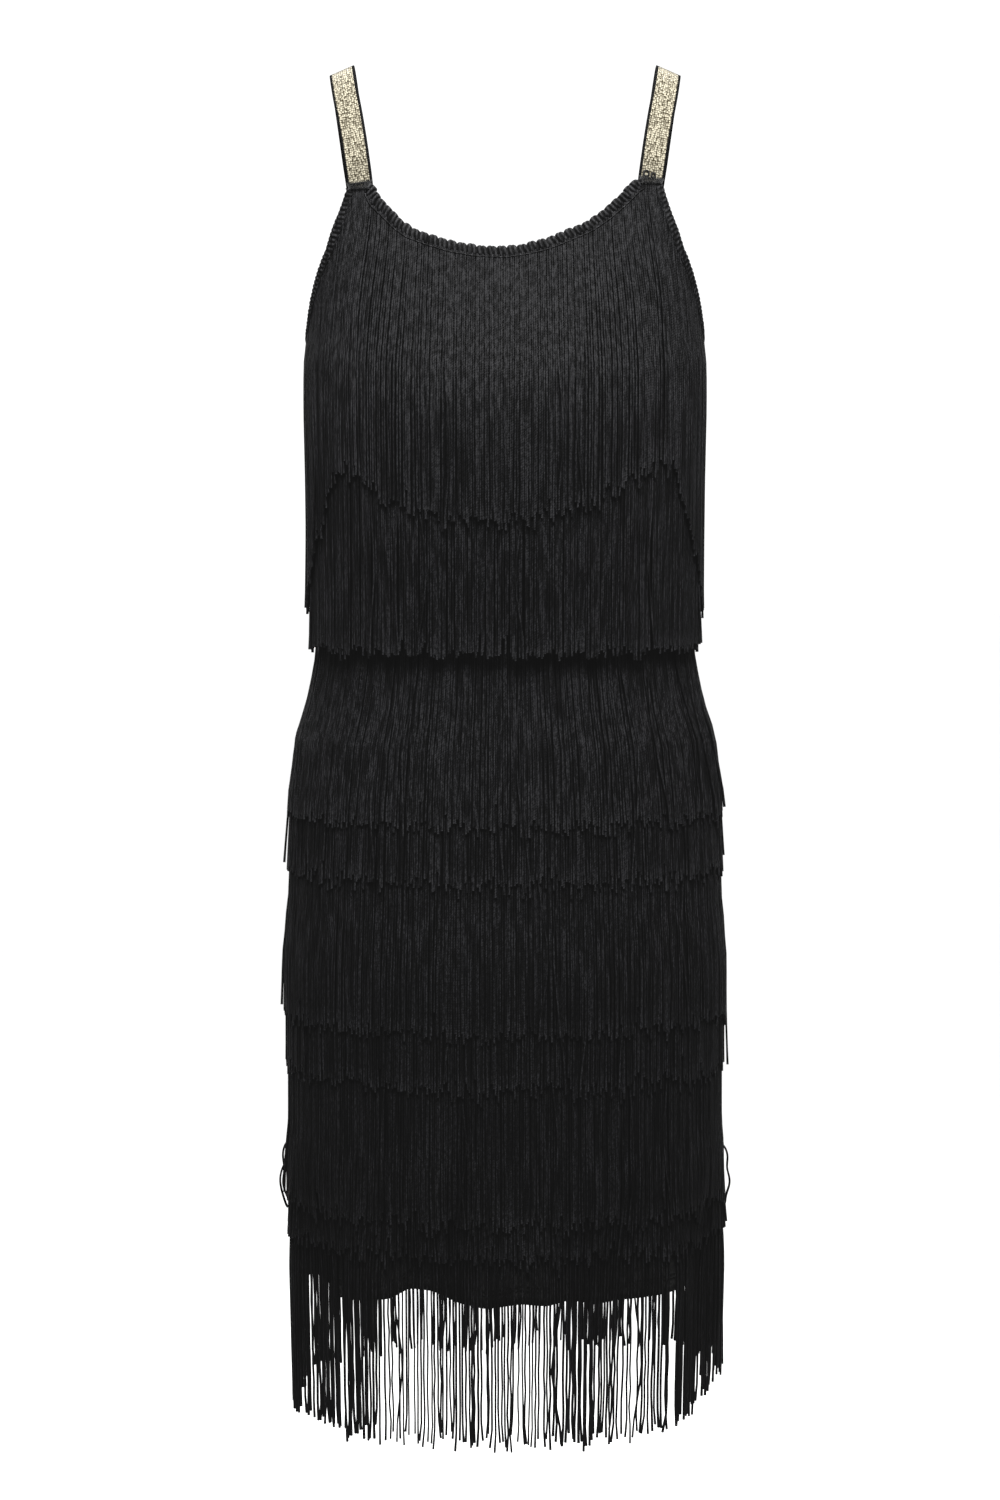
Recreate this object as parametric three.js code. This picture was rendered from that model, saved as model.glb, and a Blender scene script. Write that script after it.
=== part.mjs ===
// A sleeveless flapper dress, worn form with nobody in it: a black stretch jersey sheath,
// gold elastic straps and rows of long black fringe sewn round it.
// Millimetres, +Z up, the front faces -Y. Z = 0 is where the straps lie on the shoulders.
import * as THREE from 'three';

// Cloth and seams
const JERSEY_WALL = 1.5;
const SEAM_GAP = 0.3;
const SECTION_POWER = 2.2;
const HEM_Z = -880;
const HEM_WAVES = 9;
const HEM_WAVE_DEPTH = 5;
const HEM_WAVE_TURN = 40;
const HEM_WAVE_START_Z = -792;

// Top edge of the sheath: scooped neck, two flat strap tabs, two armholes
const TAB_Z = -86;
const UNDERARM_Z = -195;
const NECK_LOW_FRONT_Z = -129;
const NECK_LOW_BACK_Z = -141;
const NECK_ROUND = 2.8;
const ARMHOLE_ROUND = 1.5;
const TAB_INNER_ANGLE = 37.5;
const TAB_OUTER_ANGLE = 52.5;
const BACK_SHOULDER_EXTRA = 5;

// Columns of the sheath run from hem to top edge, evenly turned round the body
const COLUMNS = 48;
const HALF_COLUMNS = COLUMNS / 2;
const CENTRE_FRONT = COLUMNS / 4;
const TOP_ROWS = 3;
const SLOPE_ANGLE = 1;
const SLOPE_DROP = 6;

// Fringe
const STRAND_DROP = 190;
const HEADING_HEIGHT = 8;
const HEADING_THICK = 2;
const LOCK_THICK = 2;
const SEWN_GAP = 0.6;
const LAYER_PITCH = 2.8;
const RING_LOCK_COLUMNS = 2;
const LOCK_PART_AT_ROOT = 0.03;
const LOCK_PART_AT_TIP = 0.15;
const TIP_UNEVEN = 4;
const TIP_FAST_BEAT = 2.4;
const TIP_SLOW_BEAT = 0.9;
const HEM_FRINGE_SIDE_RISE = 14;
const SIDE_RISE_POWER = 4;

// Ribbed braid that heads the neck and armhole fringe
const BRAID_HEIGHT = 7;
const BRAID_RIBS_PER_COLUMN = 3;
const BRAID_CREST = 3.6;
const BRAID_VALLEY = 2.5;
const BRAID_PICOT = 1.2;
const BRAID_END_GAP = 0.02;
const BRAID_SEWN_GAP = 1.2;

// Gold elastic straps
const STRAP_WIDTH = 19;
const STRAP_THICK = 1.2;
const STRAP_SLOPE = 0.43;
const STRAP_TURN = 0.5;
const STRAP_TUCK_GAP = 2.1;

const BLACK_JERSEY = { color: 0x141519, roughness: 0.85, metalness: 0 };
const BLACK_FRINGE = { color: 0x1b1c21, roughness: 0.6, metalness: 0 };
const GOLD_ELASTIC = { color: 0xb59a63, roughness: 0.45, metalness: 0.6 };

// Outside of the sheath at each height: half width at the sides, depth in front and behind
const SHEATH_SECTIONS = [
  { z: -40, half: 135, front: 52, back: 48 },
  { z: -86, half: 137.5, front: 68, back: 62 },
  { z: -128, half: 138.5, front: 83, back: 79 },
  { z: -170, half: 140.5, front: 98, back: 91 },
  { z: -215, half: 141.5, front: 111, back: 96 },
  { z: -250, half: 141, front: 117, back: 95 },
  { z: -297, half: 139.6, front: 114, back: 90 },
  { z: -338, half: 137.2, front: 106, back: 84 },
  { z: -379, half: 134.6, front: 99, back: 79 },
  { z: -420, half: 133.4, front: 96, back: 78 },
  { z: -450, half: 139, front: 97, back: 83 },
  { z: -486, half: 148.4, front: 100, back: 93 },
  { z: -525, half: 151.6, front: 103, back: 104 },
  { z: -575, half: 154.4, front: 106, back: 112 },
  { z: -624, half: 155.8, front: 108, back: 116 },
  { z: -792, half: 156.8, front: 109, back: 114 },
  { z: -880, half: 156.2, front: 110, back: 112 },
  { z: -1000, half: 154, front: 110, back: 112 },
];

// The two upper fringes fall plumb from the bust instead of following the waist
const PLUMB_SECTIONS = [
  ...SHEATH_SECTIONS.filter((section) => section.z >= -215),
  { z: -250, half: 141, front: 117, back: 95.5 },
  { z: -297, half: 140.2, front: 116.5, back: 95 },
  { z: -338, half: 140, front: 115.5, back: 94 },
  { z: -379, half: 140, front: 114.5, back: 93 },
  { z: -430, half: 140.8, front: 113, back: 92 },
  { z: -500, half: 140.8, front: 112, back: 91 },
];

// Rows of fringe sewn round the sheath, by the top of each heading
const TIERS = [
  { name: 'fringe_chest', top: -215, plumb: true },
  { name: 'fringe_waist_upper', top: -338 },
  { name: 'fringe_waist_lower', top: -379 },
  { name: 'fringe_hip_upper', top: -486 },
  { name: 'fringe_hip_lower', top: -525 },
  { name: 'fringe_thigh_upper', top: -624 },
  { name: 'fringe_thigh_lower', top: -649 },
  { name: 'fringe_hem', top: -792, sideRise: HEM_FRINGE_SIDE_RISE },
];

// Heights where the sheath has a row of points besides the headings
const SHAPE_ROWS = [-276, -430, HEM_Z, -1010];

// Neck and armhole trims, by the columns they run between
const EDGE_TRIMS = [
  { name: 'fringe_neck_front', from: 6, to: 18 },
  { name: 'fringe_armhole_left', from: 18, to: 30 },
  { name: 'fringe_neck_back', from: 30, to: 42 },
  { name: 'fringe_armhole_right', from: 42, to: 54 },
];

// Side view of a strap from the front tab over the shoulder to the back tab;
// across is where its middle lies from the centre of the dress
const STRAP_STATIONS = [
  { y: -45, z: -66, across: 105.5 },
  { y: -37, z: -42, across: 109.5 },
  { y: -27, z: -22, across: 113.5 },
  { y: -14, z: -9, across: 116 },
  { y: 0, z: -4, across: 117 },
  { y: 13, z: -9, across: 116.5 },
  { y: 24, z: -22, across: 115 },
  { y: 33, z: -42, across: 112.5 },
  { y: 40, z: -66, across: 109.5 },
];
const STRAP_TUCK_ROWS = [0.3, 0.06];

const degrees = THREE.MathUtils.degToRad;
const lerp = THREE.MathUtils.lerp;
const smoothstep = THREE.MathUtils.smoothstep;

// A growing mesh of numbered points and triangles, seen from outside as
// top left, bottom left, bottom right, top right
class Skin {
  constructor() {
    this.points = [];
    this.triangles = [];
  }

  add(point) {
    this.points.push(point.x, point.y, point.z);
    return this.points.length / 3 - 1;
  }

  tri(a, b, c) {
    this.triangles.push(a, b, c);
  }

  quad(a, b, c, d) {
    this.tri(a, b, c);
    this.tri(a, c, d);
  }

  // Fills the band between an upper and a lower chain; each link is { at, id }
  band(upper, lower) {
    let i = 0;
    let j = 0;
    while (i < upper.length - 1 || j < lower.length - 1) {
      const upperNext = i < upper.length - 1 ? upper[i + 1].at : Infinity;
      const lowerNext = j < lower.length - 1 ? lower[j + 1].at : Infinity;
      if (upperNext < lowerNext) {
        this.tri(upper[i].id, lower[j].id, upper[i + 1].id);
        i += 1;
      } else {
        this.tri(upper[i].id, lower[j].id, lower[j + 1].id);
        j += 1;
      }
    }
  }

  geometry() {
    const geometry = new THREE.BufferGeometry();
    geometry.setAttribute('position', new THREE.Float32BufferAttribute(this.points, 3));
    geometry.setIndex(this.triangles);
    geometry.computeVertexNormals();
    return geometry;
  }
}

function sectionAt(sections, z) {
  let k = 0;
  while (k < sections.length - 2 && z < sections[k + 1].z) k += 1;
  const upper = sections[k];
  const lower = sections[k + 1];
  const share = (upper.z - z) / (upper.z - lower.z);
  return {
    half: lerp(upper.half, lower.half, share),
    front: lerp(upper.front, lower.front, share),
    back: lerp(upper.back, lower.back, share),
  };
}

// Column 0 is the wearer's right side seam; a quarter of the way round is the centre front
function columnAngle(column) {
  return (column / COLUMNS) * 360 - 90;
}

function roundedSine(angle) {
  const sine = Math.sin(degrees(angle));
  return Math.sign(sine) * Math.abs(sine) ** (2 / SECTION_POWER);
}

function surfacePoint(sections, angle, z) {
  const { half, front, back } = sectionAt(sections, z);
  const facing = roundedSine(angle + 90);
  const ripple = HEM_WAVE_DEPTH * Math.sin(degrees(HEM_WAVES * angle + HEM_WAVE_TURN));
  const wave = ripple * smoothstep(-z, -HEM_WAVE_START_Z, -HEM_Z);
  const shoulder = facing < 0 ? BACK_SHOULDER_EXTRA * smoothstep(z, UNDERARM_Z, TAB_Z) : 0;
  const depth = facing > 0 ? front : back;
  return new THREE.Vector3(
    (half + shoulder + wave) * roundedSine(angle),
    -(depth + wave) * facing,
    z,
  );
}

function surfaceNormal(sections, angle, z) {
  const at = (turn, rise) => surfacePoint(sections, angle + turn, z + rise);
  const along = at(SLOPE_ANGLE, 0).sub(at(-SLOPE_ANGLE, 0));
  const down = at(0, -SLOPE_DROP).sub(at(0, SLOPE_DROP));
  return down.cross(along).normalize();
}

// Height of the top edge, from the centre front or centre back round to the side seam
function topEdge(angle) {
  const turned = Math.abs(((angle + 540) % 360) - 180);
  const isFront = turned <= 90;
  const away = isFront ? turned : 180 - turned;
  const neckLow = isFront ? NECK_LOW_FRONT_Z : NECK_LOW_BACK_Z;
  if (away <= TAB_INNER_ANGLE) {
    const share = roundedSine(away) / roundedSine(TAB_INNER_ANGLE);
    return lerp(neckLow, TAB_Z, share ** NECK_ROUND);
  }
  if (away <= TAB_OUTER_ANGLE) return TAB_Z;
  const share = (away - TAB_OUTER_ANGLE) / (90 - TAB_OUTER_ANGLE);
  return lerp(UNDERARM_Z, TAB_Z, (1 - share) ** ARMHOLE_ROUND);
}

const levelRows = [...TIERS.map((tier) => tier.top), ...SHAPE_ROWS].sort((a, b) => b - a);

// The sheath as rows and columns of points; pieces sewn on it stand off these same points
class Sheath {
  constructor(sections) {
    this.columns = [];
    for (let column = 0; column < COLUMNS; column += 1) {
      const angle = columnAngle(column);
      const top = topEdge(angle);
      const heights = [];
      for (let row = 0; row < TOP_ROWS; row += 1) heights.push(lerp(top, levelRows[0], row / TOP_ROWS));
      heights.push(...levelRows);
      this.columns.push(heights.map((z) => ({
        z,
        point: surfacePoint(sections, angle, z),
        normal: surfaceNormal(sections, angle, z),
      })));
    }
    this.lastRow = this.columns[0].length - 1;
  }

  node(row, column) {
    return this.columns[((column % COLUMNS) + COLUMNS) % COLUMNS][row];
  }

  // Any place between the rows and columns, moved out along the cloth's normal
  at(row, column, out) {
    const row0 = Math.min(Math.max(Math.floor(row), 0), this.lastRow - 1);
    const column0 = Math.floor(column);
    const down = row - row0;
    const along = column - column0;
    const place = new THREE.Vector3();
    const normal = new THREE.Vector3();
    for (const [dr, dc] of [[0, 0], [1, 0], [0, 1], [1, 1]]) {
      const weight = (dr ? down : 1 - down) * (dc ? along : 1 - along);
      const node = this.node(row0 + dr, column0 + dc);
      place.addScaledVector(node.point, weight);
      normal.addScaledVector(node.normal, weight);
    }
    return place.addScaledVector(normal.normalize(), out);
  }

  height(row, column) {
    const column0 = Math.floor(column);
    return lerp(this.node(row, column0).z, this.node(row, column0 + 1).z, column - column0);
  }

  rowAt(column, z) {
    let row = 0;
    while (row < this.lastRow - 1 && z < this.height(row + 1, column)) row += 1;
    const upper = this.height(row, column);
    return row + (upper - z) / (upper - this.height(row + 1, column));
  }
}

const sheath = new Sheath(SHEATH_SECTIONS);
const plumbFall = new Sheath(PLUMB_SECTIONS);
const hemRow = TOP_ROWS + levelRows.indexOf(HEM_Z);

const dress = new THREE.Group();

function addPiece(name, skin, finish) {
  const mesh = new THREE.Mesh(skin.geometry(), new THREE.MeshStandardMaterial(finish));
  mesh.name = name;
  dress.add(mesh);
}

// Front or back: a jersey wall from one side seam to the other
function makePanel(firstColumn, seamShift) {
  const skin = new Skin();
  const wall = (row, column, out) => {
    const place = sheath.at(row, column, out);
    const onSeam = column === firstColumn || column === firstColumn + HALF_COLUMNS;
    if (onSeam) place.y += seamShift;
    return skin.add(place);
  };
  const outside = [];
  const inside = [];
  for (let row = 0; row <= hemRow; row += 1) {
    outside.push([]);
    inside.push([]);
    for (let k = 0; k <= HALF_COLUMNS; k += 1) {
      outside[row].push(wall(row, firstColumn + k, 0));
      inside[row].push(wall(row, firstColumn + k, -JERSEY_WALL));
    }
  }
  for (let row = 0; row < hemRow; row += 1) {
    const o = outside[row];
    const i = inside[row];
    const oBelow = outside[row + 1];
    const iBelow = inside[row + 1];
    for (let k = 0; k < HALF_COLUMNS; k += 1) {
      skin.quad(o[k], oBelow[k], oBelow[k + 1], o[k + 1]);
      skin.quad(i[k], i[k + 1], iBelow[k + 1], iBelow[k]);
    }
    skin.quad(i[0], iBelow[0], oBelow[0], o[0]);
    skin.quad(o[HALF_COLUMNS], oBelow[HALF_COLUMNS], iBelow[HALF_COLUMNS], i[HALF_COLUMNS]);
  }
  for (let k = 0; k < HALF_COLUMNS; k += 1) {
    skin.quad(inside[0][k], outside[0][k], outside[0][k + 1], inside[0][k + 1]);
    skin.quad(inside[hemRow][k], inside[hemRow][k + 1], outside[hemRow][k + 1], outside[hemRow][k]);
  }
  return skin;
}

// How far a row of fringe stands off where it hangs over the headings sewn below it
function standOff(headingsBelow, z) {
  const passed = headingsBelow.filter((top) => top >= z).length;
  return SEWN_GAP + LAYER_PITCH * passed;
}

function layerAt(surface, headingsBelow, row, column) {
  const upper = Math.floor(row);
  const off = (k) => standOff(headingsBelow, surface.height(Math.min(k, surface.lastRow), column));
  return lerp(off(upper), off(upper + 1), row - upper);
}

// Rows of points down one strand: the whole rows between its root and its tip, then the tip
function strandRows(rootRow, tipRow) {
  const nearTip = 0.05;
  const rows = [];
  for (let row = Math.floor(rootRow) + 1; row < tipRow - nearTip; row += 1) rows.push(row);
  rows.push(tipRow);
  return rows;
}

function unevenTip(k) {
  return TIP_UNEVEN * Math.sin(k * TIP_FAST_BEAT) * Math.cos(k * TIP_SLOW_BEAT);
}

function partingAt(share) {
  return lerp(LOCK_PART_AT_ROOT, LOCK_PART_AT_TIP, share);
}

// One row of fringe sewn right round: a heading strip with ridged locks hanging from it
function makeRing(tier) {
  const skin = new Skin();
  const surface = tier.plumb ? plumbFall : sheath;
  const headingsBelow = tier.plumb ? [] : TIERS.map((other) => other.top).filter((top) => top < tier.top);
  const strip = [];
  for (let column = 0; column < COLUMNS; column += 1) {
    const top = surface.rowAt(column, tier.top);
    const bottom = surface.rowAt(column, tier.top - HEADING_HEIGHT);
    strip.push({
      topIn: skin.add(surface.at(top, column, SEWN_GAP)),
      topOut: skin.add(surface.at(top, column, SEWN_GAP + HEADING_THICK)),
      lowOut: skin.add(surface.at(bottom, column, SEWN_GAP + HEADING_THICK)),
      lowIn: skin.add(surface.at(bottom, column, SEWN_GAP)),
    });
  }
  strip.forEach((a, column) => {
    const b = strip[(column + 1) % COLUMNS];
    skin.quad(a.topOut, a.lowOut, b.lowOut, b.topOut);
    skin.quad(a.topIn, a.topOut, b.topOut, b.topIn);
    skin.quad(a.topIn, b.topIn, b.lowIn, a.lowIn);
  });
  for (let column = 0; column < COLUMNS; column += RING_LOCK_COLUMNS) {
    const middle = column + RING_LOCK_COLUMNS / 2;
    const rise = (tier.sideRise ?? 0) * Math.sin(degrees(columnAngle(middle))) ** SIDE_RISE_POWER;
    const tipZ = tier.top - HEADING_HEIGHT - STRAND_DROP + rise + unevenTip(column);
    const rootRow = surface.rowAt(middle, tier.top - HEADING_HEIGHT);
    const tipRow = surface.rowAt(middle, tipZ);
    const left = strip[column];
    const centre = strip[middle];
    const right = strip[(column + RING_LOCK_COLUMNS) % COLUMNS];
    let above = null;
    for (const row of strandRows(rootRow, tipRow)) {
      const share = (row - rootRow) / (tipRow - rootRow);
      const parted = partingAt(share);
      const off = layerAt(surface, headingsBelow, row, middle);
      const here = {
        left: skin.add(surface.at(row, column + parted, off + LOCK_THICK / 2)),
        out: skin.add(surface.at(row, middle, off + LOCK_THICK)),
        right: skin.add(surface.at(row, column + RING_LOCK_COLUMNS - parted, off + LOCK_THICK / 2)),
        in: skin.add(surface.at(row, middle, off)),
      };
      if (above) {
        skin.quad(above.left, here.left, here.out, above.out);
        skin.quad(above.out, here.out, here.right, above.right);
        skin.quad(above.in, above.right, here.right, here.in);
        skin.quad(above.left, above.in, here.in, here.left);
      } else {
        skin.quad(left.lowOut, here.left, here.out, centre.lowOut);
        skin.quad(centre.lowOut, here.out, here.right, right.lowOut);
        skin.quad(centre.lowIn, right.lowIn, here.right, here.in);
        skin.quad(left.lowIn, centre.lowIn, here.in, here.left);
        skin.tri(left.lowIn, here.left, left.lowOut);
        skin.tri(right.lowOut, here.right, right.lowIn);
      }
      above = here;
    }
    skin.tri(above.left, above.in, above.out);
    skin.tri(above.in, above.right, above.out);
  }
  return skin;
}

// Neck or armhole trim: a ribbed braid along the top edge with one flat lock to each column
function makeEdgeTrim(trim) {
  const skin = new Skin();
  const surface = plumbFall;
  const headingsBelow = [TIERS[0].top];
  const count = trim.to - trim.from;
  const placeOf = (k) => {
    if (k === 0) return trim.from + BRAID_END_GAP;
    return k === count ? trim.to - BRAID_END_GAP : trim.from + k;
  };
  const edgeRow = (column, below) => surface.rowAt(column, surface.height(0, column) - below);
  const lip = [];
  const belly = [];
  const halfRibs = 2 * BRAID_RIBS_PER_COLUMN * count;
  for (let k = 0; k <= halfRibs; k += 1) {
    const column = lerp(placeOf(0), placeOf(count), k / halfRibs);
    const crest = k % 2;
    const lipRow = edgeRow(column, -BRAID_PICOT * crest);
    const swell = BRAID_SEWN_GAP + (crest ? BRAID_CREST : BRAID_VALLEY);
    lip.push({ at: column, id: skin.add(surface.at(lipRow, column, BRAID_SEWN_GAP)) });
    belly.push({ at: column, id: skin.add(surface.at(edgeRow(column, BRAID_HEIGHT / 2), column, swell)) });
  }
  const lowOut = [];
  const lowIn = [];
  for (let k = 0; k <= count; k += 1) {
    const column = placeOf(k);
    const row = edgeRow(column, BRAID_HEIGHT);
    lowOut.push({ at: column, id: skin.add(surface.at(row, column, BRAID_SEWN_GAP + HEADING_THICK)) });
    lowIn.push({ at: column, id: skin.add(surface.at(row, column, SEWN_GAP)) });
  }
  const mirrored = (chain) => chain.map((link) => ({ at: -link.at, id: link.id })).reverse();
  skin.band(lip, belly);
  skin.band(belly, lowOut);
  skin.band(mirrored(lip), mirrored(lowIn));
  skin.quad(lip[0].id, lowIn[0].id, lowOut[0].id, belly[0].id);
  skin.quad(lip[halfRibs].id, belly[halfRibs].id, lowOut[count].id, lowIn[count].id);
  for (let k = 0; k < count; k += 1) {
    const middle = (placeOf(k) + placeOf(k + 1)) / 2;
    const tipZ = surface.height(0, middle) - BRAID_HEIGHT - STRAND_DROP + unevenTip(trim.from + k);
    const rootRow = edgeRow(middle, BRAID_HEIGHT);
    const tipRow = surface.rowAt(middle, tipZ);
    let above = {
      leftIn: lowIn[k].id,
      leftOut: lowOut[k].id,
      rightOut: lowOut[k + 1].id,
      rightIn: lowIn[k + 1].id,
    };
    const lowestRoot = Math.max(edgeRow(placeOf(k), BRAID_HEIGHT), edgeRow(placeOf(k + 1), BRAID_HEIGHT));
    for (const row of strandRows(lowestRoot, tipRow)) {
      const parted = partingAt((row - rootRow) / (tipRow - rootRow));
      const off = layerAt(surface, headingsBelow, row, middle) + BRAID_SEWN_GAP - SEWN_GAP;
      const leftPlace = placeOf(k) + parted;
      const rightPlace = placeOf(k + 1) - parted;
      const here = {
        leftIn: skin.add(surface.at(row, leftPlace, off)),
        leftOut: skin.add(surface.at(row, leftPlace, off + LOCK_THICK)),
        rightOut: skin.add(surface.at(row, rightPlace, off + LOCK_THICK)),
        rightIn: skin.add(surface.at(row, rightPlace, off)),
      };
      skin.quad(above.leftOut, here.leftOut, here.rightOut, above.rightOut);
      skin.quad(above.leftIn, above.rightIn, here.rightIn, here.leftIn);
      skin.quad(above.leftIn, here.leftIn, here.leftOut, above.leftOut);
      skin.quad(above.rightOut, here.rightOut, here.rightIn, above.rightIn);
      above = here;
    }
    skin.quad(above.leftIn, above.rightIn, above.rightOut, above.leftOut);
  }
  return skin;
}

// A flat elastic band from inside the front tab, over the shoulder, to inside the back tab
function makeStrap(side) {
  const skin = new Skin();
  const tabColumn = (isFront) => CENTRE_FRONT + (isFront ? COLUMNS / 8 : (3 * COLUMNS) / 8);
  const tucked = (isFront, row) => {
    const inward = -JERSEY_WALL - STRAP_TUCK_GAP - STRAP_THICK / 2;
    const column = tabColumn(isFront);
    const outer = isFront ? column + 0.5 : column - 0.5;
    const place = sheath.at(row, column, inward);
    const width = sheath.at(row, outer, inward).sub(sheath.at(row, 2 * column - outer, inward));
    return { y: place.y, z: place.z, across: place.x, width };
  };
  const stations = [
    ...STRAP_TUCK_ROWS.map((row) => tucked(true, row)),
    ...STRAP_STATIONS,
    ...[...STRAP_TUCK_ROWS].reverse().map((row) => tucked(false, row)),
  ];
  const last = stations.length - 1;
  const middle = stations.map((station) => new THREE.Vector3(station.across, station.y, station.z));
  const rings = middle.map((place, k) => {
    const turn = THREE.MathUtils.clamp((k - last / 2) / (last / 2 - 1), -1, 1);
    const forward = middle[Math.min(k + 1, last)].clone().sub(middle[Math.max(k - 1, 0)]);
    const sloped = new THREE.Vector3(1, -STRAP_TURN * turn, -STRAP_SLOPE * (1 - turn * turn));
    const width = (stations[k].width ?? sloped).clone();
    width.addScaledVector(forward, -width.dot(forward) / forward.lengthSq()).normalize();
    const thick = width.clone().cross(forward).normalize();
    const corner = (w, t) => {
      const point = place.clone();
      point.addScaledVector(width, (w * STRAP_WIDTH) / 2);
      point.addScaledVector(thick, (t * STRAP_THICK) / 2);
      point.x *= side;
      return skin.add(point);
    };
    return [corner(-1, 1), corner(1, 1), corner(1, -1), corner(-1, -1)];
  });
  const face = (a, b, c, d) => (side > 0 ? skin.quad(a, b, c, d) : skin.quad(d, c, b, a));
  for (let k = 0; k < last; k += 1) {
    for (let edge = 0; edge < 4; edge += 1) {
      const next = (edge + 1) % 4;
      face(rings[k][edge], rings[k][next], rings[k + 1][next], rings[k + 1][edge]);
    }
  }
  face(rings[0][3], rings[0][2], rings[0][1], rings[0][0]);
  face(rings[last][0], rings[last][1], rings[last][2], rings[last][3]);
  return skin;
}

addPiece('front_panel', makePanel(0, -SEAM_GAP / 2), BLACK_JERSEY);
addPiece('back_panel', makePanel(HALF_COLUMNS, SEAM_GAP / 2), BLACK_JERSEY);
addPiece('strap_left', makeStrap(1), GOLD_ELASTIC);
addPiece('strap_right', makeStrap(-1), GOLD_ELASTIC);
for (const trim of EDGE_TRIMS) addPiece(trim.name, makeEdgeTrim(trim), BLACK_FRINGE);
for (const tier of TIERS) addPiece(tier.name, makeRing(tier), BLACK_FRINGE);

export default dress;
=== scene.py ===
# %% [markdown]
# # A flapper dress with tiers of black fringe
#
# The dress is a plain black stretch sheath on two gold elastic straps. Nearly all that shows is
# fringe: long twisted strands that hang from narrow headings, sewn round the sheath row above row.
# We make it as a dressmaker would: the sheath, the braid on its edges, the fringe, then the straps.

# %% Load the shared frame
import math

import bpy
import numpy as np
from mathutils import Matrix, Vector


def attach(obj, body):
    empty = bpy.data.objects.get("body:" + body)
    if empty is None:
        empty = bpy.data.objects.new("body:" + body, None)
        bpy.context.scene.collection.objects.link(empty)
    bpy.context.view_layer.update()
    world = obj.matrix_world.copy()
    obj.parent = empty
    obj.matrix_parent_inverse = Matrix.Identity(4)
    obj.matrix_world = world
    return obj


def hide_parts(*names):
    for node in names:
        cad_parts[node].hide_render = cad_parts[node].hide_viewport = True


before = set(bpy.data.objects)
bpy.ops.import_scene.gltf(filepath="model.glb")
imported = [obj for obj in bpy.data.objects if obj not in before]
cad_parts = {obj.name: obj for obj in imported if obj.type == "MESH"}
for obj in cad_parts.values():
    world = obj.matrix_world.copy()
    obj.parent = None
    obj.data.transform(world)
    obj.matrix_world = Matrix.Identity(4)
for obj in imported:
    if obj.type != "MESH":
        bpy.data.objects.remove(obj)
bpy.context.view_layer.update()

print("parts in the frame:", len(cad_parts))

# %% [markdown]
# ## Camera
#
# The photograph was taken from a little above the middle of the dress with a longish lens, which
# keeps the tiers nearly level. A camera on a sphere round an aim point needs only its distance, its
# angle of height and its lens, and these are easy to fit to a picture one at a time.

# %% Camera
LENS_MM = 85.0
SENSOR_MM = 36.0
CAMERA_DISTANCE = 2.6
CAMERA_ELEVATION = math.radians(6.8)
AIM = np.array((-0.0037, 0.0, -0.49467))

lens = bpy.data.cameras.new("camera")
lens.lens = LENS_MM
lens.sensor_width = SENSOR_MM
lens.dof.use_dof = False
camera = bpy.data.objects.new("camera", lens)
from_aim = np.array((0.0, -math.cos(CAMERA_ELEVATION), math.sin(CAMERA_ELEVATION)))
camera.location = AIM + CAMERA_DISTANCE * from_aim
camera.rotation_euler = (math.pi / 2 - CAMERA_ELEVATION, 0.0, 0.0)
bpy.context.scene.collection.objects.link(camera)
bpy.context.scene.camera = camera
print("camera at", [round(v, 3) for v in camera.location])

# %% [markdown]
# ## Meshes from arrays
#
# A dress like this has thousands of strands. Modelling them one at a time would take far too long, so
# pieces are built as arrays of points and four-sided faces and handed to Blender in one go. Every piece
# also gets a flat map, in metres along the thread or cloth, so that weave and twist come out at their
# real size.


# %% Parts as arrays
def lattice(rows, columns, wrap=False):
    """Four-sided faces between the points of a grid, numbered row by row."""
    r, c = np.meshgrid(np.arange(rows - 1), np.arange(columns if wrap else columns - 1), indexing="ij")
    beside = (c + 1) % columns
    corners = (r * columns + c, (r + 1) * columns + c, (r + 1) * columns + beside, r * columns + beside)
    return np.stack(corners, axis=-1).reshape(-1, 4)


def grid_part(points, flat, wrap=False):
    """A part from a grid of points (rows, columns, 3) and its flat map (rows, columns, 2)."""
    rows, columns = points.shape[:2]
    return points.reshape(-1, 3), lattice(rows, columns, wrap), flat.reshape(-1, 2)


def joined(parts):
    """Several (points, faces, flat map) parts as one."""
    points, faces, flat = zip(*parts)
    starts = np.cumsum([0] + [len(p) for p in points[:-1]])
    moved_on = [f + start for f, start in zip(faces, starts)]
    return np.concatenate(points), np.concatenate(moved_on), np.concatenate(flat)


print("a grid of 3 by 4 points has", len(lattice(3, 4)), "faces")


# %% Parts as pieces of the dress
def add_piece(name, part, material, stands_for=()):
    """A smooth mesh with flat thread ends that rides on the dress, in place of what it stands for."""
    points, faces, flat = part
    mesh = bpy.data.meshes.new(name)
    mesh.vertices.add(len(points))
    mesh.vertices.foreach_set("co", points.astype(np.float32).ravel())
    mesh.loops.add(faces.size)
    mesh.loops.foreach_set("vertex_index", faces.astype(np.int32).ravel())
    mesh.polygons.add(len(faces))
    mesh.polygons.foreach_set("loop_start", np.arange(0, faces.size, 4, dtype=np.int32))
    is_cut_end = np.ptp(flat[faces, 0], axis=1) == 0.0
    mesh.polygons.foreach_set("use_smooth", ~is_cut_end)
    layer = mesh.uv_layers.new(name="flat")
    layer.data.foreach_set("uv", flat[faces.ravel()].astype(np.float32).ravel())
    mesh.update(calc_edges=True)
    mesh.materials.append(material)
    piece = bpy.data.objects.new(name, mesh)
    bpy.context.scene.collection.objects.link(piece)
    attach(piece, "root")
    if stands_for:
        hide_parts(*stands_for)
    print(f"{name}: {len(faces)} faces")
    return piece


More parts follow.
